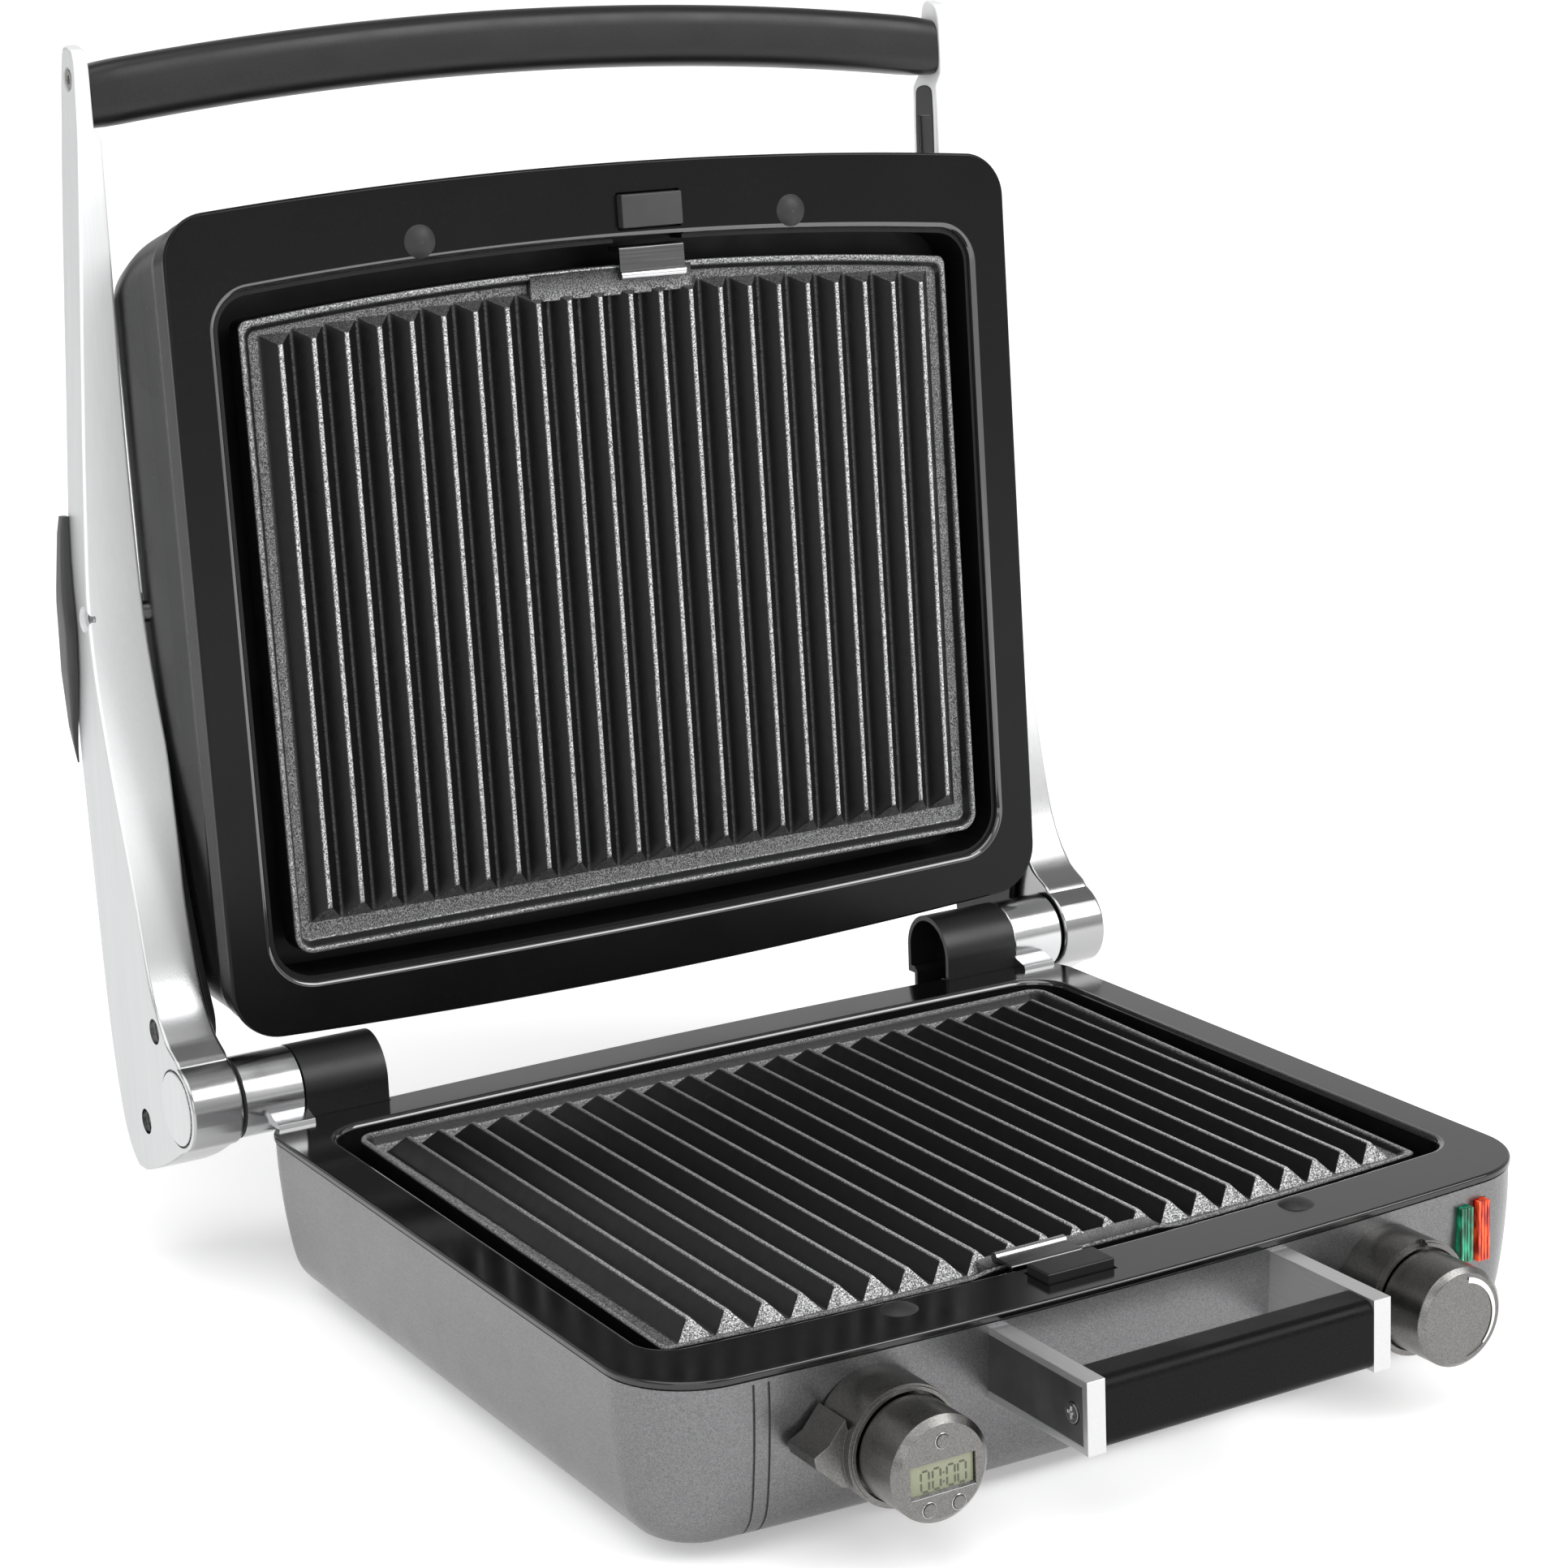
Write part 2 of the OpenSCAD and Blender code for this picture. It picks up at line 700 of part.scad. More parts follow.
module tilt_pins() {
  color("silver") arm_frame() for (s = [0, 1]) mirror([s, 0, 0]) translate([0, tilt_v, tilt_h])
    difference() {
      union() {
        rod(150, 190, 4);
        rod(190, 191.6, 4.2);
      }
      translate([190.6, 0, 0]) rotate([0, 90, 0]) cylinder(h = 3, r = 1.6, $fn = 6);
    }
}

// Lever on the outside of the left arm
module lock_lever() {
  color("dimgray") arm_frame() mirror([1, 0, 0]) {
    translate([195.5, 0, 0]) rotate([90, 0, 90]) linear_extrude(4.5)
      polygon(closed([[205, -63], [206, -57.5], [200, -55], [188, -58.5], [172, -59.5],
        [152, -60.5], [128, -65], [124, -66.6], [138, -67.6], [160, -68.6], [184, -68],
        [198, -66.2]], 4));
    translate([0, 196, -58]) rod(186, 196, 2.5);
  }
}

// ---- lid ----

module upper_housing() {
  color("dimgray") difference() {
    union() {
      lid_half() difference() {
        hull() {
          slice(-3.02, lid_d, 0.9, 0.5, lid_corner);
          slice(-13, lid_d - 2, -0.9, 2.7, lid_corner);
          slice(-40, lid_d - 9, -1.4, 6.6, lid_corner);
          slice(-51, lid_d - 13, -1.2, 13.2, lid_corner);
          slice(-58, lid_d - 16, -0.4, 20.4, lid_corner);
          slice(-61.3, lid_d - 20, 3.5, 27.5, lid_corner);
          slice(-62.5, lid_d - 26, 9, 37, lid_corner);
        }
        hull() {
          slice(0, lid_d, 0.9 + wall, 0.5, lid_corner);
          slice(-13, lid_d - 2, -0.9 + wall, 2.7, lid_corner);
          slice(-40, lid_d - 9, -1.4 + wall, 6.6, lid_corner);
          slice(-49.5, lid_d - 13, -1.2 + wall, 13.2, lid_corner);
          slice(-56, lid_d - 16, -0.4 + wall, 20.4, lid_corner);
          slice(-59, lid_d - 20, 3.5 + wall, 27.5, lid_corner);
          slice(-60, lid_d - 26, 9 + wall, 37, lid_corner);
        }
      }
      arm_frame() for (s = [0, 1]) mirror([s, 0, 0]) translate([0, tilt_v, tilt_h])
        rod(142, 170.8, 7.6);
    }
    arm_frame() for (s = [0, 1]) mirror([s, 0, 0]) translate([0, tilt_v, tilt_h])
      rod(149, 175, 4 + fit);
  }
}

module upper_bezel() {
  color("black") lid_half() frame_plate(lid_d, 3.9, 1.5, lid_corner);
}

module upper_tray() {
  color("dimgray") lid_half() well(lid_d, 26);
}

module upper_plate() {
  color("darkslategray") lid_half() grill_plate(lid_d);
}

module upper_element() {
  color("gray") lid_half() heater(lid_d);
}

module upper_button() {
  color("black") lid_half() release_button(lid_d);
}

module upper_clip() {
  color("silver") lid_half() plate_clip(lid_d);
}

module upper_bumpers() {
  color("black") lid_half() bumpers(lid_d);
}

base_casing();
base_bottom();
rubber_feet();
base_bezel();
lower_tray();
lower_plate();
lower_element();
thermostat();
knob_collar_left();
knob_collar_right();
thermostat_knob();
timer_head();
timer_screen();
timer_button_top();
timer_button_left();
timer_button_right();
light_green();
light_red();
handle_bracket_left();
handle_bracket_right();
handle_side_covers();
front_handle_bar();
handle_screws();
lower_button();
lower_clip();
lower_bumpers();
hinge_post_left();
hinge_post_right();
hinge_collar_left();
hinge_collar_right();
hinge_screws();
cord_gland();
arm_left();
arm_right();
arm_liner_left();
arm_liner_right();
hinge_pins();
pivot_caps();
arm_screws();
lid_handle_bar();
tilt_pins();
lock_lever();
upper_housing();
upper_bezel();
upper_tray();
upper_plate();
upper_element();
upper_button();
upper_clip();
upper_bumpers();
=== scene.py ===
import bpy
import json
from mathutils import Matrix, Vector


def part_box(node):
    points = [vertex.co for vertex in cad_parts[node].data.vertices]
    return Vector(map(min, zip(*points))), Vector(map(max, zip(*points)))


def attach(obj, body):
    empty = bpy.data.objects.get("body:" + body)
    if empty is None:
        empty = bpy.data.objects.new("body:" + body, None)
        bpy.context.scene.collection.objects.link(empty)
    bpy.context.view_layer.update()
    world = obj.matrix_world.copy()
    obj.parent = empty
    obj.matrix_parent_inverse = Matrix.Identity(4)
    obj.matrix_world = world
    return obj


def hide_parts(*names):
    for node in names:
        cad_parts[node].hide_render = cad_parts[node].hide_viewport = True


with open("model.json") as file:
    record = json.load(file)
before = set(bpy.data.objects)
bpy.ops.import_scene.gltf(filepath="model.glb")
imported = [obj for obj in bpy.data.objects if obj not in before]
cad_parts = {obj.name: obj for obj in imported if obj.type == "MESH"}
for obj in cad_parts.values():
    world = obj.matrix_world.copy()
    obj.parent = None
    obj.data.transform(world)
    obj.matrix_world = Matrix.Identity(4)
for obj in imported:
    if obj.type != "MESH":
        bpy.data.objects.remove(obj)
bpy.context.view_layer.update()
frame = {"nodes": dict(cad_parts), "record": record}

import json
import math
from math import cos, sin, pi, radians, sqrt

import bmesh
import bpy
from mathutils import Matrix, Vector

MM = 0.001
scene = bpy.context.scene
NODES = frame["nodes"]

# ---- places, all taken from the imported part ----


def mid(node, i):
    lo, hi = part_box(node)
    return (lo[i] + hi[i]) / 2 / MM


def low(node, i):
    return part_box(node)[0][i] / MM


def high(node, i):
    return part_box(node)[1][i] / MM


FACE_Z = high("base_bezel", 2)                       # top of the lower frame
BASE_D, LID_D, LID_CORNER = 292.0, 289.0, 14.0
REAR_BOW, CLIP_BOW = 5, 8                            # outward bow of the hinge and clip sides
SIDE_RIM, REAR_RIM, CLIP_RIM = 16.5, 19, 27.5        # widths of the frames round their openings
RIBS, RIB_PITCH, RIB_SPAN = 22, 12.55, 153.5
CLIP_X = mid("upper_clip", 0)
BASE_REAR = low("base_bezel", 1) + BASE_D + 8        # hinge-side edge of the lower frame
HALF = high("base_bezel", 0)
HY, HZ = mid("hinge_pins", 1), mid("hinge_pins", 2)  # hinge axis
LEAN = radians(87.5)
KNOB_X, KNOB_Z = mid("thermostat_knob", 0), mid("thermostat_knob", 2)
KNOB_FACE = low("thermostat_knob", 1)
BASE_Y = BASE_REAR - BASE_D / 2


def at_object(p):
    return Vector(p) * MM


def at_base(p):
    """Local point of the lower half: y from the hinge side, z above its face."""
    return Vector((-p[0], BASE_REAR - p[1], FACE_Z + p[2])) * MM


def at_arm(p):
    """Local point of the arms: v away from the hinge axis, h out of the plates' side."""
    x, v, h = p
    return Vector((x, HY + v * cos(LEAN) - h * sin(LEAN), HZ + v * sin(LEAN) + h * cos(LEAN))) * MM


def at_lid(p):
    return at_arm((p[0], p[1] + 20, p[2] + 2.7))


def at_front(p):
    """x, y from the middle of the base, z."""
    return Vector((p[0], BASE_Y + p[1], p[2])) * MM


# ---- materials ----


MATS = {}


class Finish:
    """A procedural material under construction, kept in MATS by its name."""

    def __init__(self, name, color, metallic, rough, **sockets):
        MATS[name] = bpy.data.materials.new("look_" + name)
        MATS[name].use_nodes = True
        self.nt = MATS[name].node_tree
        self.nt.nodes.clear()
        out = self.nt.nodes.new("ShaderNodeOutputMaterial")
        self.bsdf = self.nt.nodes.new("ShaderNodeBsdfPrincipled")
        self.nt.links.new(self.bsdf.outputs[0], out.inputs[0])
        self.put("Base Color", (*color, 1))
        self.put("Metallic", metallic)
        self.put("Roughness", rough)
        for k, v in sockets.items():
            self.put(k.replace("_", " "), v)
        tc = self.nt.nodes.new("ShaderNodeTexCoord")
        self.place = tc.outputs["Object"]

    def put(self, socket, value):
        self.bsdf.inputs[socket].default_value = value

    def to(self, socket, output):
        self.nt.links.new(output, self.bsdf.inputs[socket])

    def stretch(self, sx, sy, sz):
        m = self.nt.nodes.new("ShaderNodeMapping")
        m.inputs["Scale"].default_value = (sx, sy, sz)
        self.nt.links.new(self.place, m.inputs["Vector"])
        return m.outputs[0]

    def noise(self, scale, detail=2.0, rough=0.5, vec=None):
        n = self.nt.nodes.new("ShaderNodeTexNoise")
        n.inputs["Scale"].default_value = scale
        n.inputs["Detail"].default_value = detail
        n.inputs["Roughness"].default_value = rough
        self.nt.links.new(vec or self.place, n.inputs["Vector"])
        return n.outputs[0]

    def cells(self, scale, vec=None):
        """One random number for each small cell."""
        n = self.nt.nodes.new("ShaderNodeTexVoronoi")
        n.inputs["Scale"].default_value = scale
        self.nt.links.new(vec or self.place, n.inputs["Vector"])
        s = self.nt.nodes.new("ShaderNodeSeparateColor")
        self.nt.links.new(n.outputs["Color"], s.inputs[0])
        return s.outputs[0]

    def remap(self, fac, lo, hi, a, b):
        m = self.nt.nodes.new("ShaderNodeMapRange")
        for k, v in zip(("From Min", "From Max", "To Min", "To Max"), (lo, hi, a, b)):
            m.inputs[k].default_value = v
        self.nt.links.new(fac, m.inputs["Value"])
        return m.outputs[0]

    def math(self, op, a, b):
        m = self.nt.nodes.new("ShaderNodeMath")
        m.operation = op
        for i, v in enumerate((a, b)):
            if isinstance(v, (int, float)):
                m.inputs[i].default_value = v
            else:
                self.nt.links.new(v, m.inputs[i])
        return m.outputs[0]

    def axis(self, i):
        s = self.nt.nodes.new("ShaderNodeSeparateXYZ")
        self.nt.links.new(self.place, s.inputs[0])
        return s.outputs[i]

    def mix(self, fac, a, b):
        m = self.nt.nodes.new("ShaderNodeMix")
        m.data_type = "RGBA"
        self.nt.links.new(fac, m.inputs[0])
        for i, v in ((6, a), (7, b)):
            if isinstance(v, tuple):
                m.inputs[i].default_value = (*v, 1)
            else:
                self.nt.links.new(v, m.inputs[i])
        return m.outputs[2]

    def bump(self, height, strength, distance, under=None):
        b = self.nt.nodes.new("ShaderNodeBump")
        b.inputs["Strength"].default_value = strength
        b.inputs["Distance"].default_value = distance * MM
        self.nt.links.new(height, b.inputs["Height"])
        if under:
            self.nt.links.new(under, b.inputs["Normal"])
        self.nt.links.new(b.outputs[0], self.bsdf.inputs["Normal"])
        return b.outputs[0]


def make_finishes():
    """Every finish of the press and of the floor."""
    f = Finish("painted_silver", (0.2, 0.2, 0.203), 0.9, 0.34)
    flake = f.cells(3600)
    tone = f.remap(f.noise(9), 0.3, 0.7, 0.0, 0.14)
    f.to("Base Color", f.mix(f.math("ADD", f.remap(flake, 0.0, 1.0, 0.0, 0.7), tone),
                             (0.12, 0.12, 0.1225), (0.25, 0.25, 0.2535)))
    f.to("Roughness", f.remap(f.noise(60, 3), 0.25, 0.75, 0.27, 0.34))
    f.bump(flake, 0.12, 0.04, f.bump(f.noise(700, 2), 0.05, 0.12))

    f = Finish("black_gloss", (0.004, 0.004, 0.004), 0.0, 0.07, IOR=1.62)
    f.to("Roughness", f.remap(f.noise(25, 4), 0.3, 0.7, 0.1, 0.17))
    f.to("Base Color", f.mix(f.remap(f.noise(900, 3), 0.55, 0.8, 0, 1), (0.003, 0.003, 0.003),
                             (0.009, 0.009, 0.009)))
    f.bump(f.noise(60, 2), 0.012, 0.1)

    f = Finish("black_satin", (0.006, 0.006, 0.0062), 0.0, 0.38, Specular_IOR_Level=0.42)
    f.to("Roughness", f.remap(f.noise(40, 4), 0.3, 0.7, 0.34, 0.44))
    f.to("Base Color", f.mix(f.remap(f.noise(1400, 3), 0.4, 0.8, 0, 1), (0.005, 0.005, 0.0052),
                             (0.011, 0.011, 0.0112)))
    f.bump(f.noise(2600, 2), 0.12, 0.04)

    f = Finish("bezel_satin", (0.003, 0.003, 0.0031), 0.0, 0.2, Specular_IOR_Level=0.2)
    f.to("Roughness", f.remap(f.noise(30, 4), 0.3, 0.7, 0.16, 0.25))
    f.to("Base Color", f.mix(f.remap(f.noise(1200, 3), 0.5, 0.8, 0, 1), (0.0025, 0.0025, 0.0026),
                             (0.006, 0.006, 0.0061)))
    f.bump(f.noise(2200, 2), 0.04, 0.03)

    f = Finish("bar_satin", (0.003, 0.003, 0.0031), 0.0, 0.34, Specular_IOR_Level=0.1)
    f.to("Roughness", f.remap(f.noise(40, 4), 0.3, 0.7, 0.3, 0.42))
    f.to("Base Color", f.mix(f.remap(f.noise(1400, 3), 0.4, 0.8, 0, 1), (0.003, 0.003, 0.0031),
                             (0.008, 0.008, 0.0081)))
    f.bump(f.noise(2600, 2), 0.1, 0.04)

    # lighter, glossier copy of the frame's black for the rounding of its opening: a painted highlight
    f = Finish("bezel_painted_highlight", (0.012, 0.012, 0.012), 0.0, 0.12, Specular_IOR_Level=1.0, Coat_Weight=1.0)
    f.to("Roughness", f.remap(f.noise(80, 3), 0.3, 0.7, 0.05, 0.1))
    f.to("Base Color", f.mix(f.noise(500, 3), (0.008, 0.008, 0.008), (0.02, 0.02, 0.02)))
    f.bump(f.noise(900, 2), 0.03, 0.03)

    f = Finish("housing_dark", (0.014, 0.014, 0.0145), 0.1, 0.26, Specular_IOR_Level=0.4)
    flake = f.cells(2600)
    f.to("Base Color", f.mix(flake, (0.01, 0.01, 0.0105), (0.024, 0.024, 0.0245)))
    f.to("Roughness", f.remap(f.noise(30, 4), 0.3, 0.7, 0.2, 0.32))
    f.bump(f.noise(800, 2), 0.04, 0.06)

    f = Finish("housing_deep", (0.005, 0.005, 0.0052), 0.0, 0.24, Specular_IOR_Level=0.16)
    f.to("Base Color", f.mix(f.cells(2600), (0.004, 0.004, 0.0042), (0.01, 0.01, 0.0102)))
    f.to("Roughness", f.remap(f.noise(30, 4), 0.3, 0.7, 0.2, 0.3))
    f.bump(f.noise(800, 2), 0.04, 0.06)

    # satin aluminium, polished towards the hinge except on its outer side; there its base colour is also
    # painted darker, as shade
    f = Finish("cast_arm", (0.7, 0.705, 0.71), 0.75, 0.38)
    streak = f.noise(1.0, 3, 0.6, f.stretch(1600, 1600, 30))
    up = f.remap(f.axis(2), 0.085, 0.175, 0.0, 1.0)
    # below, towards the hinge, the base colour is darkened: painted shade
    f.to("Base Color", f.mix(up, (0.4, 0.4, 0.405),
                             f.mix(streak, (0.86, 0.865, 0.87), (0.95, 0.955, 0.96))))
    f.to("Metallic", f.remap(up, 0, 1, 1.0, 0.4))
    f.to("Roughness", f.math("ADD", f.remap(up, 0, 1, 0.18, 0.44), f.remap(streak, 0.3, 0.7, 0, 0.04)))
    f.bump(streak, 0.02, 0.02)

    for name, tone in (("arm_side", (0.6, 0.605, 0.61)), ("cap_satin", (0.63, 0.635, 0.64))):
        f = Finish(name, tone, 0.45, 0.42)
        grain = f.noise(1700, 3, 0.6)
        streak = f.noise(1.0, 2, 0.5, f.stretch(300, 300, 12))
        f.to("Base Color", f.mix(f.math("MULTIPLY", grain, streak), tuple(v * 0.92 for v in tone),
                                 tuple(v * 1.16 for v in tone)))
        f.to("Roughness", f.remap(grain, 0.3, 0.7, 0.38, 0.48))
        f.bump(grain, 0.06, 0.02)

    f = Finish("bracket_silver", (0.8, 0.8, 0.805), 0.85, 0.34)
    streak = f.noise(1.0, 3, 0.6, f.stretch(1800, 60, 1800))
    f.to("Base Color", f.mix(streak, (0.54, 0.54, 0.545), (0.68, 0.68, 0.685)))
    f.to("Roughness", f.remap(streak, 0.3, 0.7, 0.28, 0.38))
    f.bump(streak, 0.05, 0.02)

    f = Finish("chrome", (0.62, 0.625, 0.63), 1.0, 0.18)
    f.to("Roughness", f.remap(f.noise(90, 4), 0.3, 0.7, 0.15, 0.22))
    f.to("Base Color", f.mix(f.noise(30, 3), (0.5, 0.505, 0.51), (0.68, 0.68, 0.685)))
    f.bump(f.noise(70, 2), 0.02, 0.12)

    f = Finish("steel", (0.5, 0.5, 0.51), 1.0, 0.25)
    f.to("Roughness", f.remap(f.noise(300, 4), 0.3, 0.7, 0.18, 0.32))
    f.to("Base Color", f.mix(f.noise(500, 3), (0.4, 0.4, 0.41), (0.6, 0.6, 0.61)))
    f.bump(f.noise(1500, 2), 0.06, 0.03)

    f = Finish("clip_steel", (0.6, 0.6, 0.61), 1.0, 0.2)
    streak = f.noise(1.0, 3, 0.6, f.stretch(30, 1500, 1500))
    f.to("Base Color", f.mix(streak, (0.5, 0.5, 0.51), (0.72, 0.72, 0.73)))
    f.to("Roughness", f.remap(streak, 0.3, 0.7, 0.16, 0.26))
    f.bump(streak, 0.06, 0.02)

    # the clip's steel darkened for its strap and front leg: painted shade
    f = Finish("strap_painted_shade", (0.12, 0.12, 0.122), 1.0, 0.24)
    streak = f.noise(1.0, 3, 0.6, f.stretch(30, 1500, 1500))
    f.to("Base Color", f.mix(streak, (0.08, 0.08, 0.082), (0.17, 0.17, 0.172)))
    f.to("Roughness", f.remap(streak, 0.3, 0.7, 0.2, 0.3))
    f.bump(streak, 0.06, 0.02)

    # dark coating whose crests, rims and ends show bright grains: a painted highlight, with some wear
    f = Finish("non_stick", (0.004, 0.004, 0.0042), 0.0, 0.33, Specular_IOR_Level=0.3)
    # wear_and_highlight, a value for each point, places the painted highlight on the grains
    at = f.nt.nodes.new("ShaderNodeAttribute")
    at.attribute_name = "wear_and_highlight"
    grain = f.remap(f.noise(2100, 2, 0.6), 0.42, 0.6, 0.1, 1.0)
    fine = f.remap(f.cells(3600), 0.0, 1.0, 0.4, 1.0)
    shine = f.math("MULTIPLY", f.math("MULTIPLY", grain, fine), at.outputs["Fac"])
    f.to("Base Color", f.mix(shine, (0.004, 0.004, 0.0042), (0.8, 0.8, 0.81)))
    f.to("Metallic", f.remap(shine, 0.0, 0.6, 0.0, 0.45))
    f.to("Roughness", f.remap(f.noise(260, 3), 0.25, 0.75, 0.28, 0.4))
    f.bump(f.noise(1300, 3, 0.6), 0.32, 0.16)

    f = Finish("gunmetal", (0.17, 0.166, 0.16), 1.0, 0.3)
    flake = f.cells(4200)
    f.to("Base Color", f.mix(flake, (0.13, 0.127, 0.122), (0.23, 0.225, 0.218)))
    f.to("Roughness", f.remap(f.noise(90, 3), 0.3, 0.7, 0.25, 0.34))
    f.bump(flake, 0.07, 0.03)

    f = Finish("rubber", (0.012, 0.012, 0.0122), 0.0, 0.55)
    f.to("Roughness", f.remap(f.noise(200, 3), 0.3, 0.7, 0.45, 0.62))
    f.to("Base Color", f.mix(f.noise(700, 3), (0.008, 0.008, 0.0082), (0.018, 0.018, 0.0182)))
    f.bump(f.noise(2000, 2), 0.15, 0.05)

    f = Finish("screen", (0.2, 0.21, 0.13), 0.0, 0.22, Coat_Weight=0.6)
    # painted light: the screen's colour is lighter towards its top
    f.to("Base Color", f.mix(f.remap(f.axis(2), 0.028, 0.04, 0, 1), (0.15, 0.165, 0.09),
                             (0.26, 0.27, 0.175)))
    f.to("Roughness", f.remap(f.noise(400, 3), 0.3, 0.7, 0.18, 0.3))
    f.bump(f.noise(3000, 2), 0.08, 0.02)

    for name, dark, lit, glow in (
            ("green_lens", (0.0, 0.1, 0.045), (0.04, 0.5, 0.28), (0.0, 0.5, 0.25)),
            ("red_lens", (0.34, 0.003, 0.002), (1.0, 0.12, 0.01), (1.0, 0.04, 0.005))):
        f = Finish(name, dark, 0.0, 0.16, Coat_Weight=0.5, Emission_Strength=0.25)
        patch = f.noise(1.0, 2, 0.5, f.stretch(420, 420, 150))
        streak = f.noise(1.0, 2, 0.5, f.stretch(1400, 200, 120))
        both = f.remap(f.math("ADD", patch, streak), 0.9, 1.25, 0, 1)
        f.to("Base Color", f.mix(both, dark, lit))
        f.to("Emission Color", f.mix(both, (0, 0, 0), glow))
        f.to("Roughness", f.remap(streak, 0.3, 0.7, 0.1, 0.24))
        f.bump(streak, 0.15, 0.08)

    f = Finish("dark_plastic", (0.03, 0.03, 0.031), 0.0, 0.38)
    f.to("Roughness", f.remap(f.noise(60, 4), 0.3, 0.7, 0.32, 0.46))
    f.to("Base Color", f.mix(f.noise(60, 4), (0.02, 0.02, 0.021), (0.045, 0.045, 0.046)))
    f.bump(f.noise(1800, 2), 0.12, 0.04)

    f = Finish("cover_grey", (0.07, 0.07, 0.072), 0.6, 0.34)
    f.to("Base Color", f.mix(f.remap(f.noise(45, 3), 0.3, 0.7, 0, 1), (0.045, 0.045, 0.047),
                             (0.11, 0.11, 0.112)))
    f.to("Roughness", f.remap(f.noise(120, 4), 0.3, 0.7, 0.28, 0.42))
    f.bump(f.noise(1500, 2), 0.08, 0.04)

    f = Finish("well_black", (0.003, 0.003, 0.003), 0.0, 0.42, Specular_IOR_Level=0.3)
    f.to("Roughness", f.remap(f.noise(60, 4), 0.3, 0.7, 0.36, 0.5))
    f.to("Base Color", f.mix(f.noise(300, 3), (0.002, 0.002, 0.002), (0.006, 0.006, 0.006)))
    f.bump(f.noise(900, 2), 0.1, 0.06)

    f = Finish("print_white", (0.85, 0.85, 0.85), 0.0, 0.4)
    f.to("Base Color", f.mix(f.noise(1200, 3), (0.78, 0.78, 0.78), (0.9, 0.9, 0.9)))
    f.to("Roughness", f.remap(f.noise(600, 3), 0.3, 0.7, 0.35, 0.5))

    f = Finish("lcd_dark", (0.06, 0.065, 0.04), 0.0, 0.3)
    f.to("Base Color", f.mix(f.noise(1200, 3), (0.055, 0.06, 0.038), (0.09, 0.095, 0.06)))
    f.to("Roughness", f.remap(f.noise(600, 3), 0.3, 0.7, 0.25, 0.35))

    f = Finish("floor_pale", (0.93, 0.93, 0.93), 0.0, 0.6, Specular_IOR_Level=0.1,
               Emission_Color=(1, 1, 1, 1), Emission_Strength=0.34)
    f.to("Base Color", f.mix(f.noise(3, 3), (0.92, 0.92, 0.92), (0.94, 0.94, 0.94)))
    f.to("Roughness", f.remap(f.noise(5, 3), 0.3, 0.7, 0.55, 0.65))


make_finishes()
SLOT = {e["node"]: e["material_slot"] for e in frame["record"]["subparts"]}
LOOK = {"upper_bezel": "bezel_satin", "front_handle_bar": "bar_satin", "pivot_caps": "cap_satin",
        "arm_screws": "gunmetal", "upper_button": "dark_plastic", "handle_side_covers": "cover_grey",
        "handle_bracket_left": "bracket_silver", "handle_bracket_right": "bracket_silver",
        "lower_clip": "clip_steel", "upper_clip": "clip_steel"}
BODY = {node: body for body, nodes in frame["record"]["behaviour"]["bodies"].items()
        for node in nodes}


def look(node):
    """The finish of a node: its own, or that of its slot."""
    return MATS[LOOK.get(node, SLOT[node])]


for node, obj in NODES.items():
    for i in range(len(obj.material_slots)):
        obj.material_slots[i].material = look(node)

# ---- mesh helpers ----


def finish_mesh(me, smooth):
    """Smooth shading, sharp where faces meet at more than smooth degrees."""
    me.shade_smooth()
    me.set_sharp_from_angle(angle=radians(smooth))


def weigh(ob):
    """Flat faces keep flat shading beside rounded edges."""
    mod = ob.modifiers.new("normals", "WEIGHTED_NORMAL")
    mod.keep_sharp = True
    mod.weight = 60


def enter(name, me, node, mat=None, stands_for=True):
    """Puts a mesh in the scene as a piece of the node's body; it replaces the node if stands_for."""
    ob = bpy.data.objects.new(name, me)
    scene.collection.objects.link(ob)
    me.materials.append(MATS[mat] if mat else look(node))
    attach(ob, BODY[node])
    if stands_for:
        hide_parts(node)
    weigh(ob)
    return ob


def add(name, verts, faces, node, tf=at_object, mat=None, smooth=32, stands_for=True, wear_and_highlight=None):
    """A new piece from local points and faces; wear_and_highlight is a value for each point, for grains
    with wear and a painted highlight.
    """
    me = bpy.data.meshes.new(name)
    me.from_pydata([tf(v) for v in verts], [], faces)
    if wear_and_highlight:
        me.attributes.new("wear_and_highlight", "FLOAT", "POINT").data.foreach_set("value", wear_and_highlight)
    bm = bmesh.new()
    bm.from_mesh(me)
    bmesh.ops.remove_doubles(bm, verts=bm.verts, dist=1e-7)
    bmesh.ops.recalc_face_normals(bm, faces=bm.faces)
    bm.to_mesh(me)
    bm.free()
    finish_mesh(me, smooth)
    return enter(name, me, node, mat, stands_for)


def dress(node, width, seg=2, angle=38, smooth=32):
    """The CAD node's own shape with its edges rounded."""
    me = NODES[node].data.copy()
    bm = bmesh.new()
    bm.from_mesh(me)
    bmesh.ops.remove_doubles(bm, verts=bm.verts, dist=2e-6)
    bmesh.ops.dissolve_limit(bm, angle_limit=radians(0.4), verts=bm.verts, edges=bm.edges)
    edges = [e for e in bm.edges if len(e.link_faces) == 2 and e.calc_face_angle(0) > radians(angle)]
    bmesh.ops.bevel(bm, geom=edges, offset=width * MM, segments=seg, profile=0.5, affect="EDGES",
                    clamp_overlap=True)
    bmesh.ops.recalc_face_normals(bm, faces=bm.faces)
    out = bpy.data.meshes.new("soft_" + node)
    bm.to_mesh(out)
    bm.free()
    bpy.data.meshes.remove(me)
    finish_mesh(out, smooth)
    return enter("v_" + node, out, node)


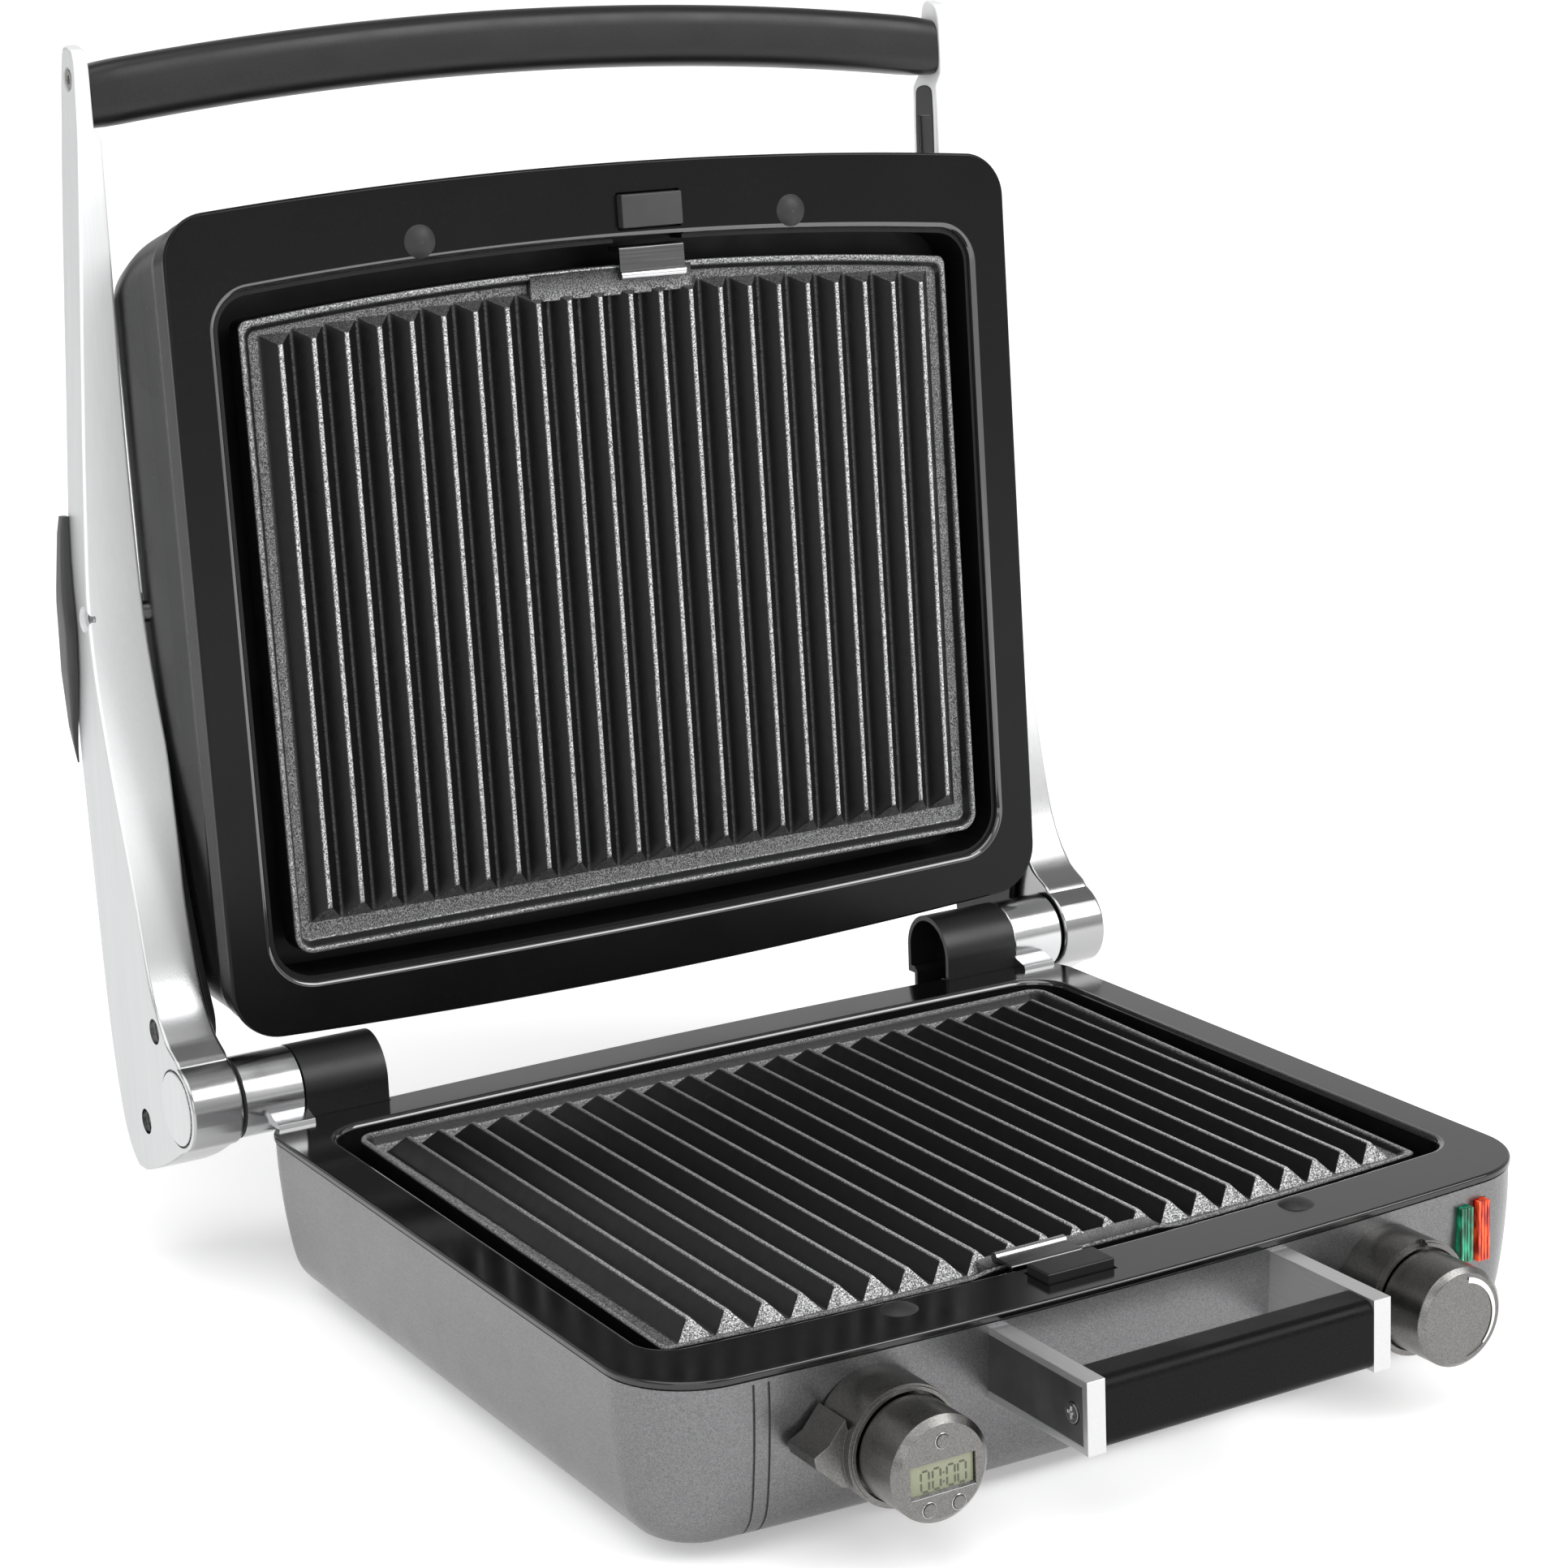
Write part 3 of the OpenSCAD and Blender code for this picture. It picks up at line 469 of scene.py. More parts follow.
def loft(rings, closed=False, cap0=False, cap1=False):
    """Quads between closed rings with equal numbers of points."""
    verts = [p for r in rings for p in r]
    n = len(rings[0])
    faces = []
    pairs = list(zip(range(len(rings) - 1), range(1, len(rings))))
    if closed:
        pairs.append((len(rings) - 1, 0))
    for a, b in pairs:
        for i in range(n):
            j = (i + 1) % n
            faces.append((a * n + i, a * n + j, b * n + j, b * n + i))
    if cap0:
        faces.append(tuple(range(n))[::-1])
    if cap1:
        faces.append(tuple((len(rings) - 1) * n + i for i in range(n)))
    return verts, faces


def block(lo, hi):
    """A box between two corners, for cutting and for flat marks."""
    v = [(x, y, z) for x in (lo[0], hi[0]) for y in (lo[1], hi[1]) for z in (lo[2], hi[2])]
    f = [(0, 1, 3, 2), (4, 6, 7, 5), (0, 4, 5, 1), (2, 3, 7, 6), (0, 2, 6, 4), (1, 5, 7, 3)]
    return v, f


def boxes(*corners):
    return [block(lo, hi) for lo, hi in corners]


def cut(ob, tools, tf, smooth=32):
    """Takes closed meshes (local points) out of a piece."""
    verts, faces = joined(*tools)
    me = bpy.data.meshes.new("cutter")
    me.from_pydata([tf(p) for p in verts], [], faces)
    bm = bmesh.new()
    bm.from_mesh(me)
    bmesh.ops.recalc_face_normals(bm, faces=bm.faces)
    bm.to_mesh(me)
    bm.free()
    tool = bpy.data.objects.new("cutter", me)
    scene.collection.objects.link(tool)
    ob.modifiers.clear()
    mod = ob.modifiers.new("cut", "BOOLEAN")
    mod.operation = "DIFFERENCE"
    mod.solver = "EXACT"
    mod.object = tool
    deps = bpy.context.evaluated_depsgraph_get()
    new = bpy.data.meshes.new_from_object(ob.evaluated_get(deps))
    ob.modifiers.clear()
    old, ob.data = ob.data, new
    bpy.data.objects.remove(tool)
    bpy.data.meshes.remove(old)
    finish_mesh(new, smooth)
    weigh(ob)


def outline(half, y0, y1, r0, r1, b0, b1, n=14, m=36):
    """Rounded rectangle: ends at y0 and y1 with corner radii r0, r1 and outward bows b0, b1."""
    def bowed(x, y, bow):
        return (x, y + bow * (1 - (x / half) ** 2))

    def end(r, y, way, bow):
        return [bowed(way * (-half + r + i * 2 * (half - r) / m), y, bow) for i in range(m + 1)]

    def corner(cx, cy, r, quarter, steps, bow):
        turns = [(quarter + i / n) * pi / 2 for i in steps]
        return [bowed(cx + r * cos(a), cy + r * sin(a), bow) for a in turns]

    after, before = range(1, n + 1), range(n)
    return (end(r0, y0, 1, -b0) + corner(half - r0, y0 + r0, r0, -1, after, -b0)
            + corner(half - r1, y1 - r1, r1, 0, before, b1) + end(r1, y1, -1, b1)
            + corner(-half + r1, y1 - r1, r1, 1, after, b1)
            + corner(-half + r0, y0 + r0, r0, 2, before, -b0))


def outer(d, inset, z, rear=0.0, soft=0.0):
    """Outer outline of a half at height z, drawn in by inset, and by rear more at the hinge."""
    corner = 27 if d == BASE_D else LID_CORNER
    return [(x, y, z) for x, y in outline(
        HALF - inset, inset + rear, d - inset, max(16 - inset, 4) + soft,
        max(corner - inset, 6) + soft, REAR_BOW, CLIP_BOW)]


def opening(d, inset, z, b=2.0):
    """Outline of the frame's opening at height z, drawn in by inset; b is its bow at the hinge."""
    return [(x, y, z) for x, y in outline(
        HALF - SIDE_RIM - inset, REAR_RIM + inset, d - CLIP_RIM - inset, max(15 - inset, 3),
        max(11 - inset, 3), b, CLIP_BOW)]


def curve_through(pts, n):
    """Smooth values through a list of tuples, n steps a span."""
    out = []
    k = len(pts)
    for i in range(k - 1):
        p0, p1, p2, p3 = pts[max(i - 1, 0)], pts[i], pts[i + 1], pts[min(i + 2, k - 1)]
        for j in range(n):
            t = j / n
            out.append(tuple(0.5 * (2 * b + (c - a) * t + (2 * a - 5 * b + 4 * c - e) * t * t
                                    + (3 * b - a - 3 * c + e) * t ** 3)
                             for a, b, c, e in zip(p0, p1, p2, p3)))
    out.append(tuple(pts[-1]))
    return out


def lathe(profile, centre, axis, n=64):
    """Turned solid: profile of (radius, along) round an axis through centre."""
    rings = []
    for r, s in profile:
        ring = []
        for i in range(n):
            a = 2 * pi * i / n
            u, w = r * cos(a), r * sin(a)
            if axis == "x":
                ring.append((centre[0] + s, centre[1] + u, centre[2] + w))
            elif axis == "y":
                ring.append((centre[0] + u, centre[1] + s, centre[2] + w))
            else:
                ring.append((centre[0] + u, centre[1] + w, centre[2] + s))
        rings.append(ring)
    return rings


def joined(*parts):
    """Several (points, faces) pairs as one."""
    verts, faces = [], []
    for v, f in parts:
        faces += [tuple(len(verts) + i for i in q) for q in f]
        verts += list(v)
    return verts, faces


# ---- shells ----

CASING = curve_through([(-3.02, 0.6), (-15, 0.9), (-32, 2.4), (-47, 5), (-54, 9), (-57, 13)], 6)
rings = [outer(BASE_D, 3.1, -3.02)] + [outer(BASE_D, i, z) for z, i in CASING]
rings += [outer(BASE_D, 17, -57), outer(BASE_D, 17, -54), outer(BASE_D, 7.5, -46),
          outer(BASE_D, 3.4, -15)]
casing = add("v_base_casing", *loft(rings, closed=True), "base_casing", at_base)


def groove(x):
    """Cutter for a fine seam that follows the front wall."""
    face = -BASE_D / 2 - CLIP_BOW * (1 - (x / HALF) ** 2)
    rings = []
    for z, i in CASING[1:]:
        y, z = face + i + 0.9, 62 + z
        rings.append([(x - 0.4, -162, z), (x + 0.4, -162, z), (x + 0.4, y, z), (x - 0.4, y, z)])
    return loft(rings, cap0=True, cap1=True)


cut(casing, boxes(((130.75, -160, 33.75), (136.25, -143, 53.25)),
                  ((137.95, -160, 32.75), (143.45, -143, 54.25))) + [groove(-136), groove(-131)],
    at_front)


def clip_slots(d):
    """Cutters for the slots that the release button and the clip come through."""
    return ((CLIP_X - 13.1, d - 15.2, -4), (CLIP_X + 13.1, d - 1.4, 4)), \
           ((CLIP_X - 14.3, d - 24, -4), (CLIP_X + 14.3, d - 17.6, 4))


def frame_plate(name, node, d, tf, skirt, grow=0.0):
    """Flat frame with a rounded outer edge, and a rounding round its opening with a painted highlight.
    """
    r, t, g = 1.0, 2.1, grow
    turn = [pi / 16 * k for k in range(9)]
    rings = [opening(d, -g, -2.4)]
    rings += [opening(d, -g - t * (1 - cos(a)), -t * (1 - sin(a))) for a in turn]
    rings += [outer(d, r * (1 - sin(a)) - g, -r * (1 - cos(a)), g) for a in turn]
    rings += [outer(d, -g, -2.1, g), outer(d, 0.3 - g, -2.4, g), outer(d, 1.2 - g, -2.4, g),
              outer(d, 1.2 - g, -3, g), outer(d, skirt - g, -3, g), outer(d, skirt - g, -2.4, g)]
    verts, faces = loft(rings, closed=True)
    ob = add(name, verts, faces, node, tf, smooth=25)
    ob.data.materials.append(MATS["bezel_painted_highlight"])
    # the rounding faces get the painted highlight
    n = len(rings[0])
    for i in range(n, 9 * n):
        ob.data.polygons[i].material_index = 1
    return ob


plate = frame_plate("v_base_bezel", "base_bezel", BASE_D, at_base, 3.1)
posts = [((s * 136 - 16.2, -20, -5), (s * 136 + 16.2, 2, 4)) for s in (-1, 1)]
cut(plate, boxes(*clip_slots(BASE_D), *posts), at_base, 25)
plate = frame_plate("v_upper_bezel", "upper_bezel", LID_D, at_lid, 3.9, 1.5)
cut(plate, boxes(*clip_slots(LID_D)), at_lid, 25)

HOUSING = [(-3.02, 0.9, 0.5, 0), (-3.4, 0.75, 0.55, 0.1), (-12.2, -0.75, 2.5, 1.8),
           (-13, -0.86, 2.7, 2), (-13.8, -0.55, 2.9, 2.3), (-16, -0.6, 3.2, 2.9)]
HOUSING += curve_through([(-27, -1.1, 4.9, 5.6), (-40, -1.36, 6.7, 9), (-51, -1.1, 13.3, 13),
                          (-58, -0.2, 20.4, 16), (-61.3, 3.7, 27.5, 20), (-62.4, 9, 37, 26)], 6)
rings = [outer(LID_D, 4, -3.02)] + [outer(LID_D - t, i, z, r) for z, i, r, t in HOUSING]
rings += [outer(LID_D - 26, 9 + k * 16, -62.42 - 0.01 * k, 37 + k, 8) for k in range(1, 6)]
shell = loft(rings, cap1=True)
bosses = []
for s in (-1, 1):
    prof = [(0.01, 0), (6.8, 0), (7.6, 0.8), (7.6, 10)]
    bosses.append(loft(lathe([(r, s * (170.8 - a)) for r, a in prof], (0, 150, -54.7), "x", 40)))
housing = add("v_upper_housing", *joined(shell, *bosses), "upper_housing", at_lid, smooth=40)
housing.data.materials.append(MATS["housing_deep"])
n = len(rings[0])
for i in range(4 * n, len(housing.data.polygons)):
    housing.data.polygons[i].material_index = 1

# ---- grill plates ----


def rim_top(x, y, d):
    """Height of the rim: lower on the clip side, except at the ledge."""
    s = min(max((y - (d - 52)) / 10, 0), 1)
    s = s * s * (3 - 2 * s)
    t = min(max((abs(x) - 32) / 1.6, 0), 1)
    return -0.8 + s * (-2.8 * t - 1.2 * (1 - t))


def grill_plate(name, node, d, tf, ends, floor, fade):
    """Ribbed plate; its bright grains, a painted highlight with some wear, are set by ends, floor and
    fade, the crests' share at the hinge.
    """
    prof = [(8, -12, 0), (8, -2.3, 0), (8.15, -1.5, 0.2), (8.6, -1.0, 0.7), (9.2, -0.8, 0.85),
            (9.8, -0.95, 0.7), (10.3, -1.45, 0.2), (10.7, -2.4, 0.02), (11.7, -4.9, 0.02),
            (12.1, -5.4, 0.3), (12.9, -5.6, 0.42)]
    rings, wear_and_highlight = [], []
    for inset, z, w in prof:
        ring = []
        for x, y, _ in opening(d, inset, 0, 0):
            k = (rim_top(x, y, d) + 5.6) / 4.8
            ring.append((x, y, -5.6 + (z + 5.6) * k if z > -5.6 else z))
            # painted highlight on the rim, and by floor on the floor border at the hinge side
            wear_and_highlight.append(floor if y < 36 and inset > 11.9 else w)
        rings.append(ring)
    parts = [loft(rings, cap0=True, cap1=True)]
    # ledge under the clip, its edge with a painted highlight
    ledge = []
    for i in range(23):
        x = -33 + i * 3
        y1 = d - 36.5 + CLIP_BOW * (1 - (x / RIB_SPAN) ** 2)
        ledge.append([(x, d - 38.5, -5.6), (x, d - 38.5, -2.5), (x, d - 38, -2.0), (x, y1, -2.0),
                      (x, y1, -5.6)])
        wear_and_highlight += [0, 0.35, 0.7, 0.03, 0]
    parts.append(loft(ledge, cap0=True, cap1=True))
    # ribs: columns across, hipped at both ends
    half = [(0, 6.0, 1.7), (0.4, 5.96, 1.7), (0.7, 5.82, 1.0), (0.95, 5.58, 0.1), (1.2, 5.3, 0),
            (3.0, 3.2, 0),
            (5.0, 0.82, 0), (5.5, 0.3, 0), (5.9, 0.06, 0.1), (6.275, 0, 0.16)]
    cols = [(-a, h, w) for a, h, w in half[:0:-1]] + half
    for i in range(RIBS):
        xc = (i - (RIBS - 1) / 2) * RIB_PITCH
        y0, y1 = 37.5, d - 42.9 + CLIP_BOW * (1 - (xc / RIB_SPAN) ** 2)
        verts, faces = [], []
        for dx, h, w in cols:
            a, b, k = 5.5 * h / 6.1, 3.6 * h / 6.1, 0.94
            # crests painted bright as highlight, less so towards the hinge by fade; rib ends painted
            # bright by ends
            for y, z, e in ((y0 - 0.2, 0, 0.25), (y0 + a * k, h * k, 0.25),
                            (y0 + a + 0.3, h * 0.995, w * fade),
                            (y0 + a + 1.2, h, w * fade), ((y0 + y1) / 2, h, w * (1 + fade) / 2),
                            (y1 - b - 1.1, h, w),
                            (y1 - b - 0.25, h * 0.995, w), (y1 - b * k, h * k, ends),
                            (y1 + 0.1, 0, ends)):
                verts.append((xc + dx, y, -5.55 + z))
                wear_and_highlight.append(e)
        m = 9
        for c in range(len(cols) - 1):
            for j in range(m - 1):
                faces.append((c * m + j, (c + 1) * m + j, (c + 1) * m + j + 1, c * m + j + 1))
        parts.append((verts, faces))
    return add(name, *joined(*parts), node, tf, smooth=50, wear_and_highlight=wear_and_highlight)


grill_plate("v_lower_plate", "lower_plate", BASE_D, at_base, 0.75, 1.0, 0.3)
grill_plate("v_upper_plate", "upper_plate", LID_D, at_lid, 0.2, 0.55, 0.9)

# ---- handle bar of the lid ----

rings = []
for k in range(61):
    x = -174.7 + k * 349.4 / 60
    e = min(k, 60 - k)
    t = {0: 0.94, 1: 0.985}.get(e, 1.0)
    ring = []
    for i in range(48):
        a = 2 * pi * i / 48
        c, s = cos(a), sin(a)
        q = (math.copysign(abs(c) ** 0.55, c) * 11.5 * t, math.copysign(abs(s) ** 0.55, s) * 10.4 * t)
        ring.append((x, 352.5 + 11.5 * (1 - (x / 175) ** 2) + q[0], -53.6 + q[1]))
    rings.append(ring)
add("v_lid_handle_bar", *loft(rings, cap0=True, cap1=True), "lid_handle_bar", at_arm, smooth=40)

# ---- arms ----

ARM = [(15, 5), (24, -7), (42, -17.5), (83, -26.5), (119, -36), (150, -44), (178, -48),
       (239, -48.6), (304, -45), (352, -43), (366, -43.6), (369.6, -48), (368.5, -55),
       (345, -60), (319, -62.4), (233, -66), (150, -66.4), (88, -66), (35, -65.4), (5, -63.4),
       (-19, -58.4), (-30.5, -50), (-32.6, -41), (-26, -20), (-18, -2), (-9, 12)]
WIDE = [(-40, 195.2), (120, 195.2), (150, 194.6), (180, 193.2), (210, 190.8), (250, 187.6),
        (300, 184.2), (340, 181.4), (375, 180)]


def between(table, v):
    for (a, p), (b, q) in zip(table, table[1:]):
        if v <= b:
            return p + (q - p) * min(max((v - a) / (b - a), 0), 1)
    return table[-1][1]


def arm_shape():
    """Stations along the arm: v, rear h, front h."""
    m = len(ARM)
    side = []
    for i in range(m):
        side += curve_through([ARM[(i - 1) % m], ARM[i], ARM[(i + 1) % m], ARM[(i + 2) % m]], 10)[10:20]
    lo, hi = min(v for v, h in side), max(v for v, h in side)
    vs = [lo + (hi - lo) * 0.5 * (1 - cos(pi * k / 70)) for k in range(71)]
    vs += [16 * cos(pi * k / 24) for k in range(25)] + [-32, -31, -29.5, -28, 18, 21, 368, 369]
    vs = sorted({round(min(max(v, lo + 0.02), hi - 0.02), 2) for v in vs})
    out = []
    for v in vs:
        hs = []
        for (a, p), (b, q) in zip(side, side[1:] + side[:1]):
            if (a - v) * (b - v) <= 0 and a != b:
                hs.append(p + (q - p) * (v - a) / (b - a))
        if abs(v) < 16:
            hs.append(sqrt(256 - v * v))
        if len(hs) > 1 and max(hs) - min(hs) > 0.05:
            out.append((v, min(hs), max(hs)))
    return out


def arm(side):
    stations = arm_shape()
    rings = []
    for v, rear, front in stations:
        x1 = between(WIDE, v)
        x0 = 176 if v < 70 else 174.9 if v > 340 else 176 - 3.5 * min((v - 70) / 50, 1)
        r = min(1.3, (front - rear) * 0.45)
        tip = min(v - stations[0][0], stations[-1][0] - v)
        e = 1.3 - sqrt(max(1.3 ** 2 - max(1.3 - tip, 0) ** 2, 0))
        x0, x1 = x0 + e, x1 - e
        ring = []
        for cx, ch, a0 in ((x1 - r, front - r, 0), (x0 + r, front - r, 1), (x0 + r, rear + r, 2),
                           (x1 - r, rear + r, 3)):
            for k in range(6):
                a = pi / 2 * (a0 + k / 5)
                ring.append((side * (cx + r * cos(a)), v, ch + r * sin(a)))
        rings.append(ring)
    name = "left" if side < 0 else "right"
    ob = add("v_arm_" + name, *loft(rings, cap0=True, cap1=True), "arm_" + name, at_arm, smooth=28)

    window = sorted((side * 170, side * 174.95))

    def bore(v, h, x, r):
        prof = [(0.001, side * x), (r, side * x), (r + 0.5, side * (x + 1.0)), (r + 0.5, side * 205),
                (0.001, side * 205)]
        return loft(lathe(prof, (0, v, h), "x", 48))
    cut(ob, [bore(359, -50, 178.4, 3.8), bore(170, -52, 190, 4.2), bore(25, -16, 191, 4.2),
             bore(-12.5, -34, 191, 4.2),
             block((window[0], 296, -57), (window[1], 326, -48.5))], at_arm, 28)
    ring = loft(lathe([(13.5, side * 193), (14.3, side * 193), (14.3, side * 205),
                       (13.5, side * 205)], (0, 0, 0), "x", 72), closed=True)
    cut(ob, [ring], at_arm, 28)
    ob.data.materials.append(MATS["arm_side"])
    for face in ob.data.polygons:
        if face.normal.x * side > 0.75 and abs(face.center.x) > 0.179:
            face.material_index = 1
    return ob


arm(-1)
arm(1)


def lever():
    """Rounded lever that hugs the outside of the left arm."""
    front = [(116, -67.6), (124, -66.0), (135, -62.4), (150, -58.6), (165, -57.8), (178, -59.6),
             (190, -61.8), (207, -63.2)]
    thick = [(116, 0.6), (130, 2.8), (150, 4.2), (175, 4.6), (200, 3.4), (207, 2.4)]
    rings = []
    for v in range(116, 207, 2):
        x0 = between(WIDE, v) + 0.3
        f, r, t = between(front, v), -68.4 + 0.8 * max(0, (130 - v) / 14), between(thick, v)
        ring = []
        for i in range(24):
            a = 2 * pi * i / 24
            c, s = cos(a), sin(a)
            ring.append((-(x0 + t / 2 + math.copysign(abs(c) ** 0.45, c) * t / 2), v,
                         (f + r) / 2 + math.copysign(abs(s) ** 0.45, s) * (f - r) / 2))
        rings.append(ring)
    add("v_lock_lever", *loft(rings, cap0=True, cap1=True), "lock_lever", at_arm, smooth=40)


lever()

# ---- these parts keep their CAD shape, with soft edges ----

for node, w in (("arm_liner_left", 0.4), ("arm_liner_right", 0.4),
                ("pivot_caps", 0.5), ("arm_screws", 0.25), ("tilt_pins", 0.3),
                ("hinge_post_left", 0.8), ("hinge_post_right", 0.8), ("hinge_collar_left", 0.4),
                ("hinge_collar_right", 0.4), ("hinge_screws", 0.2), ("cord_gland", 0.6),
                ("handle_bracket_left", 0.7), ("handle_bracket_right", 0.7),
                ("handle_side_covers", 0.3), ("front_handle_bar", 0.5), ("handle_screws", 0.2),
                ("knob_collar_left", 0.7), ("knob_collar_right", 0.7), ("thermostat_knob", 0.25),
                ("timer_head", 0.25), ("timer_button_top", 0.3), ("timer_button_left", 0.3),
                ("timer_button_right", 0.3), ("lower_button", 0.6), ("upper_button", 0.6),
                ("rubber_feet", 0.6), ("base_bottom", 0.5)):
    dress(node, w)



def plate_clip(node, d, tf):
    """Steel strip over the plate's rim: rolled end, with the strap and front leg painted dark as shade.
    """
    roll_y, roll_z, r = d - 31.5, -0.05, 1.75
    top, under, front = 0.45, -0.6, d - 21.1
    bend = 0.9
    prof = []
    for k in range(25):
        a = radians(17 + (341 - 17) * k / 24)
        prof.append((roll_y + r * cos(a), roll_z + r * sin(a)))
    prof += [(front - 1.5, under), (front - 1.5, -8.9), (front, -8.9)]
    prof += [(front - bend + bend * cos(a), top - bend + bend * sin(a))
             for a in (pi / 2 * k / 5 for k in range(6))]
    middle_y, middle_z = roll_y + 5, -0.1
    rings = []
    for x, k in ((-13.4, 0.97), (-13.2, 1.0), (13.2, 1.0), (13.4, 0.97)):
        rings.append([(CLIP_X + x, middle_y + (y - middle_y) * k, middle_z + (z - middle_z) * k)
                      for y, z in prof])
    clip = add("v_" + node, *loft(rings, cap0=True, cap1=True), node, tf, smooth=35)
    clip.data.materials.append(MATS["strap_painted_shade"])
    axis, sign = (1, -1) if tf == at_base else (2, 1)
    ends = [v.co[axis] * sign for v in clip.data.vertices]
    # faces past the roll get the strap's painted shade
    for face in clip.data.polygons:
        if face.center[axis] * sign > min(ends) + 2 * r * MM:
            face.material_index = 1


plate_clip("lower_clip", BASE_D, at_base)
plate_clip("upper_clip", LID_D, at_lid)

# the collar's outer end, 1.25 mm wide, is coloured black: a dark ring where collar and arm meet
for name in ("left", "right"):
    collar = bpy.data.objects["v_hinge_collar_" + name]
    end = max(abs(v.co.x) for v in collar.data.vertices)
    collar.data.materials.append(MATS["well_black"])
    for face in collar.data.polygons:
        if abs(face.center.x) > end - 1.25 * MM:
            face.material_index = 1

# ---- small details ----


def arc_mark():
    """Tapered white arc on the thermostat knob."""
    front, back = [], []
    n = 40
    y = KNOB_FACE - BASE_Y
    for i in range(n + 1):
        a = radians(78 - 128 * i / n)
        w = 1.55 * (1 - i / n) ** 0.8 + 0.35
        for r in (13.5 - w, 13.5):
            front.append((KNOB_X + r * cos(a), y - 0.06, KNOB_Z + r * sin(a)))
            back.append((KNOB_X + r * cos(a), y + 0.2, KNOB_Z + r * sin(a)))
    m = len(front)
    faces = []
    for i in range(n):
        a, b, c, e = 2 * i, 2 * i + 1, 2 * i + 3, 2 * i + 2
        faces += [(a, b, c, e), (m + a, m + e, m + c, m + b), (a, e, m + e, m + a), (b, m + b, m + c, c)]
    faces += [(0, m, m + 1, 1), (m - 2, m - 1, 2 * m - 1, 2 * m - 2)]
    add("knob_mark", front + back, faces, "thermostat_knob", at_front, "print_white", stands_for=False)


arc_mark()

# the six segments of a nought, as ends in a unit square
NOUGHT = [((0, 1), (1, 1)), ((1, 1), (1, 0.5)), ((1, 0.5), (1, 0)), ((0, 0), (1, 0)),
          ((0, 0.5), (0, 0)), ((0, 1), (0, 0.5))]


def lcd():
    """Digits of the timer: thin hexagonal segments on the screen."""
    parts = []
    y = high("timer_screen", 1) - BASE_Y - 1.1
    x0, z0 = -KNOB_X, KNOB_Z
    w, h, cz = 2.7, 6.4, -5.6
    for cx in (-6.9, -2.9, 2.0, 5.8):
        for (ax, az), (bx, bz) in NOUGHT:
            ax, bx = cx + ax * w, cx + bx * w
            az, bz = cz + az * h, cz + bz * h
            dx, dz = bx - ax, bz - az
            length = sqrt(dx * dx + dz * dz)
            ux, uz = dx / length, dz / length
            px, pz = -uz * 0.34, ux * 0.34
            g = 0.28
            ring = [(ax + ux * g, az + uz * g), (ax + ux * (g + 0.34) + px, az + uz * (g + 0.34) + pz),
                    (bx - ux * (g + 0.34) + px, bz - uz * (g + 0.34) + pz), (bx - ux * g, bz - uz * g),
                    (bx - ux * (g + 0.34) - px, bz - uz * (g + 0.34) - pz),
                    (ax + ux * (g + 0.34) - px, az + uz * (g + 0.34) - pz)]
            lo = [(x0 + a, y - 0.05, z0 + b) for a, b in ring]
            hi = [(x0 + a, y + 0.1, z0 + b) for a, b in ring]
            parts.append(loft([lo, hi], cap0=True, cap1=True))
    for z in (-3.9, -1.1):
        parts.append(block((x0 + 0.55, y - 0.05, z0 + z - 0.3), (x0 + 1.15, y + 0.1, z0 + z + 0.3)))
    add("timer_digits", *joined(*parts), "timer_screen", at_front, "lcd_dark", stands_for=False)


lcd()


def key_rings():
    """Fine ring round each timer button, and the bright lip of the window."""
    parts = []
    y = low("timer_head", 1) - BASE_Y
    for dx, dz in ((0, 9.4), (-5.1, -11), (5.1, -11)):
        prof = [(2.16, 0.3), (2.16, -0.1), (2.3, -0.22), (2.5, -0.1), (2.55, 0.3)]
        parts.append(loft(lathe(prof, (-KNOB_X + dx, y, KNOB_Z + dz), "y", 40), closed=True))
    x = -KNOB_X
    lip = [(y + 0.02, -6.95), (y + 0.02, -6.75), (y + 1.15, -6.15), (y + 1.15, -6.95)]
    parts.append(loft([[(x + sx, a, KNOB_Z + b) for a, b in lip] for sx in (-11.1, 11.1)],
                      cap0=True, cap1=True))
    add("timer_rings", *joined(*parts), "timer_head", at_front, "steel", stands_for=False)


key_rings()

# ---- floor, lights, camera ----

me = bpy.data.meshes.new("floor")
me.from_pydata([(-60, -60, 0), (60, -60, 0), (60, 60, 0), (-60, 60, 0)], [], [(0, 1, 2, 3)])
me.materials.append(MATS["floor_pale"])
floor = bpy.data.objects.new("floor", me)
scene.collection.objects.link(floor)

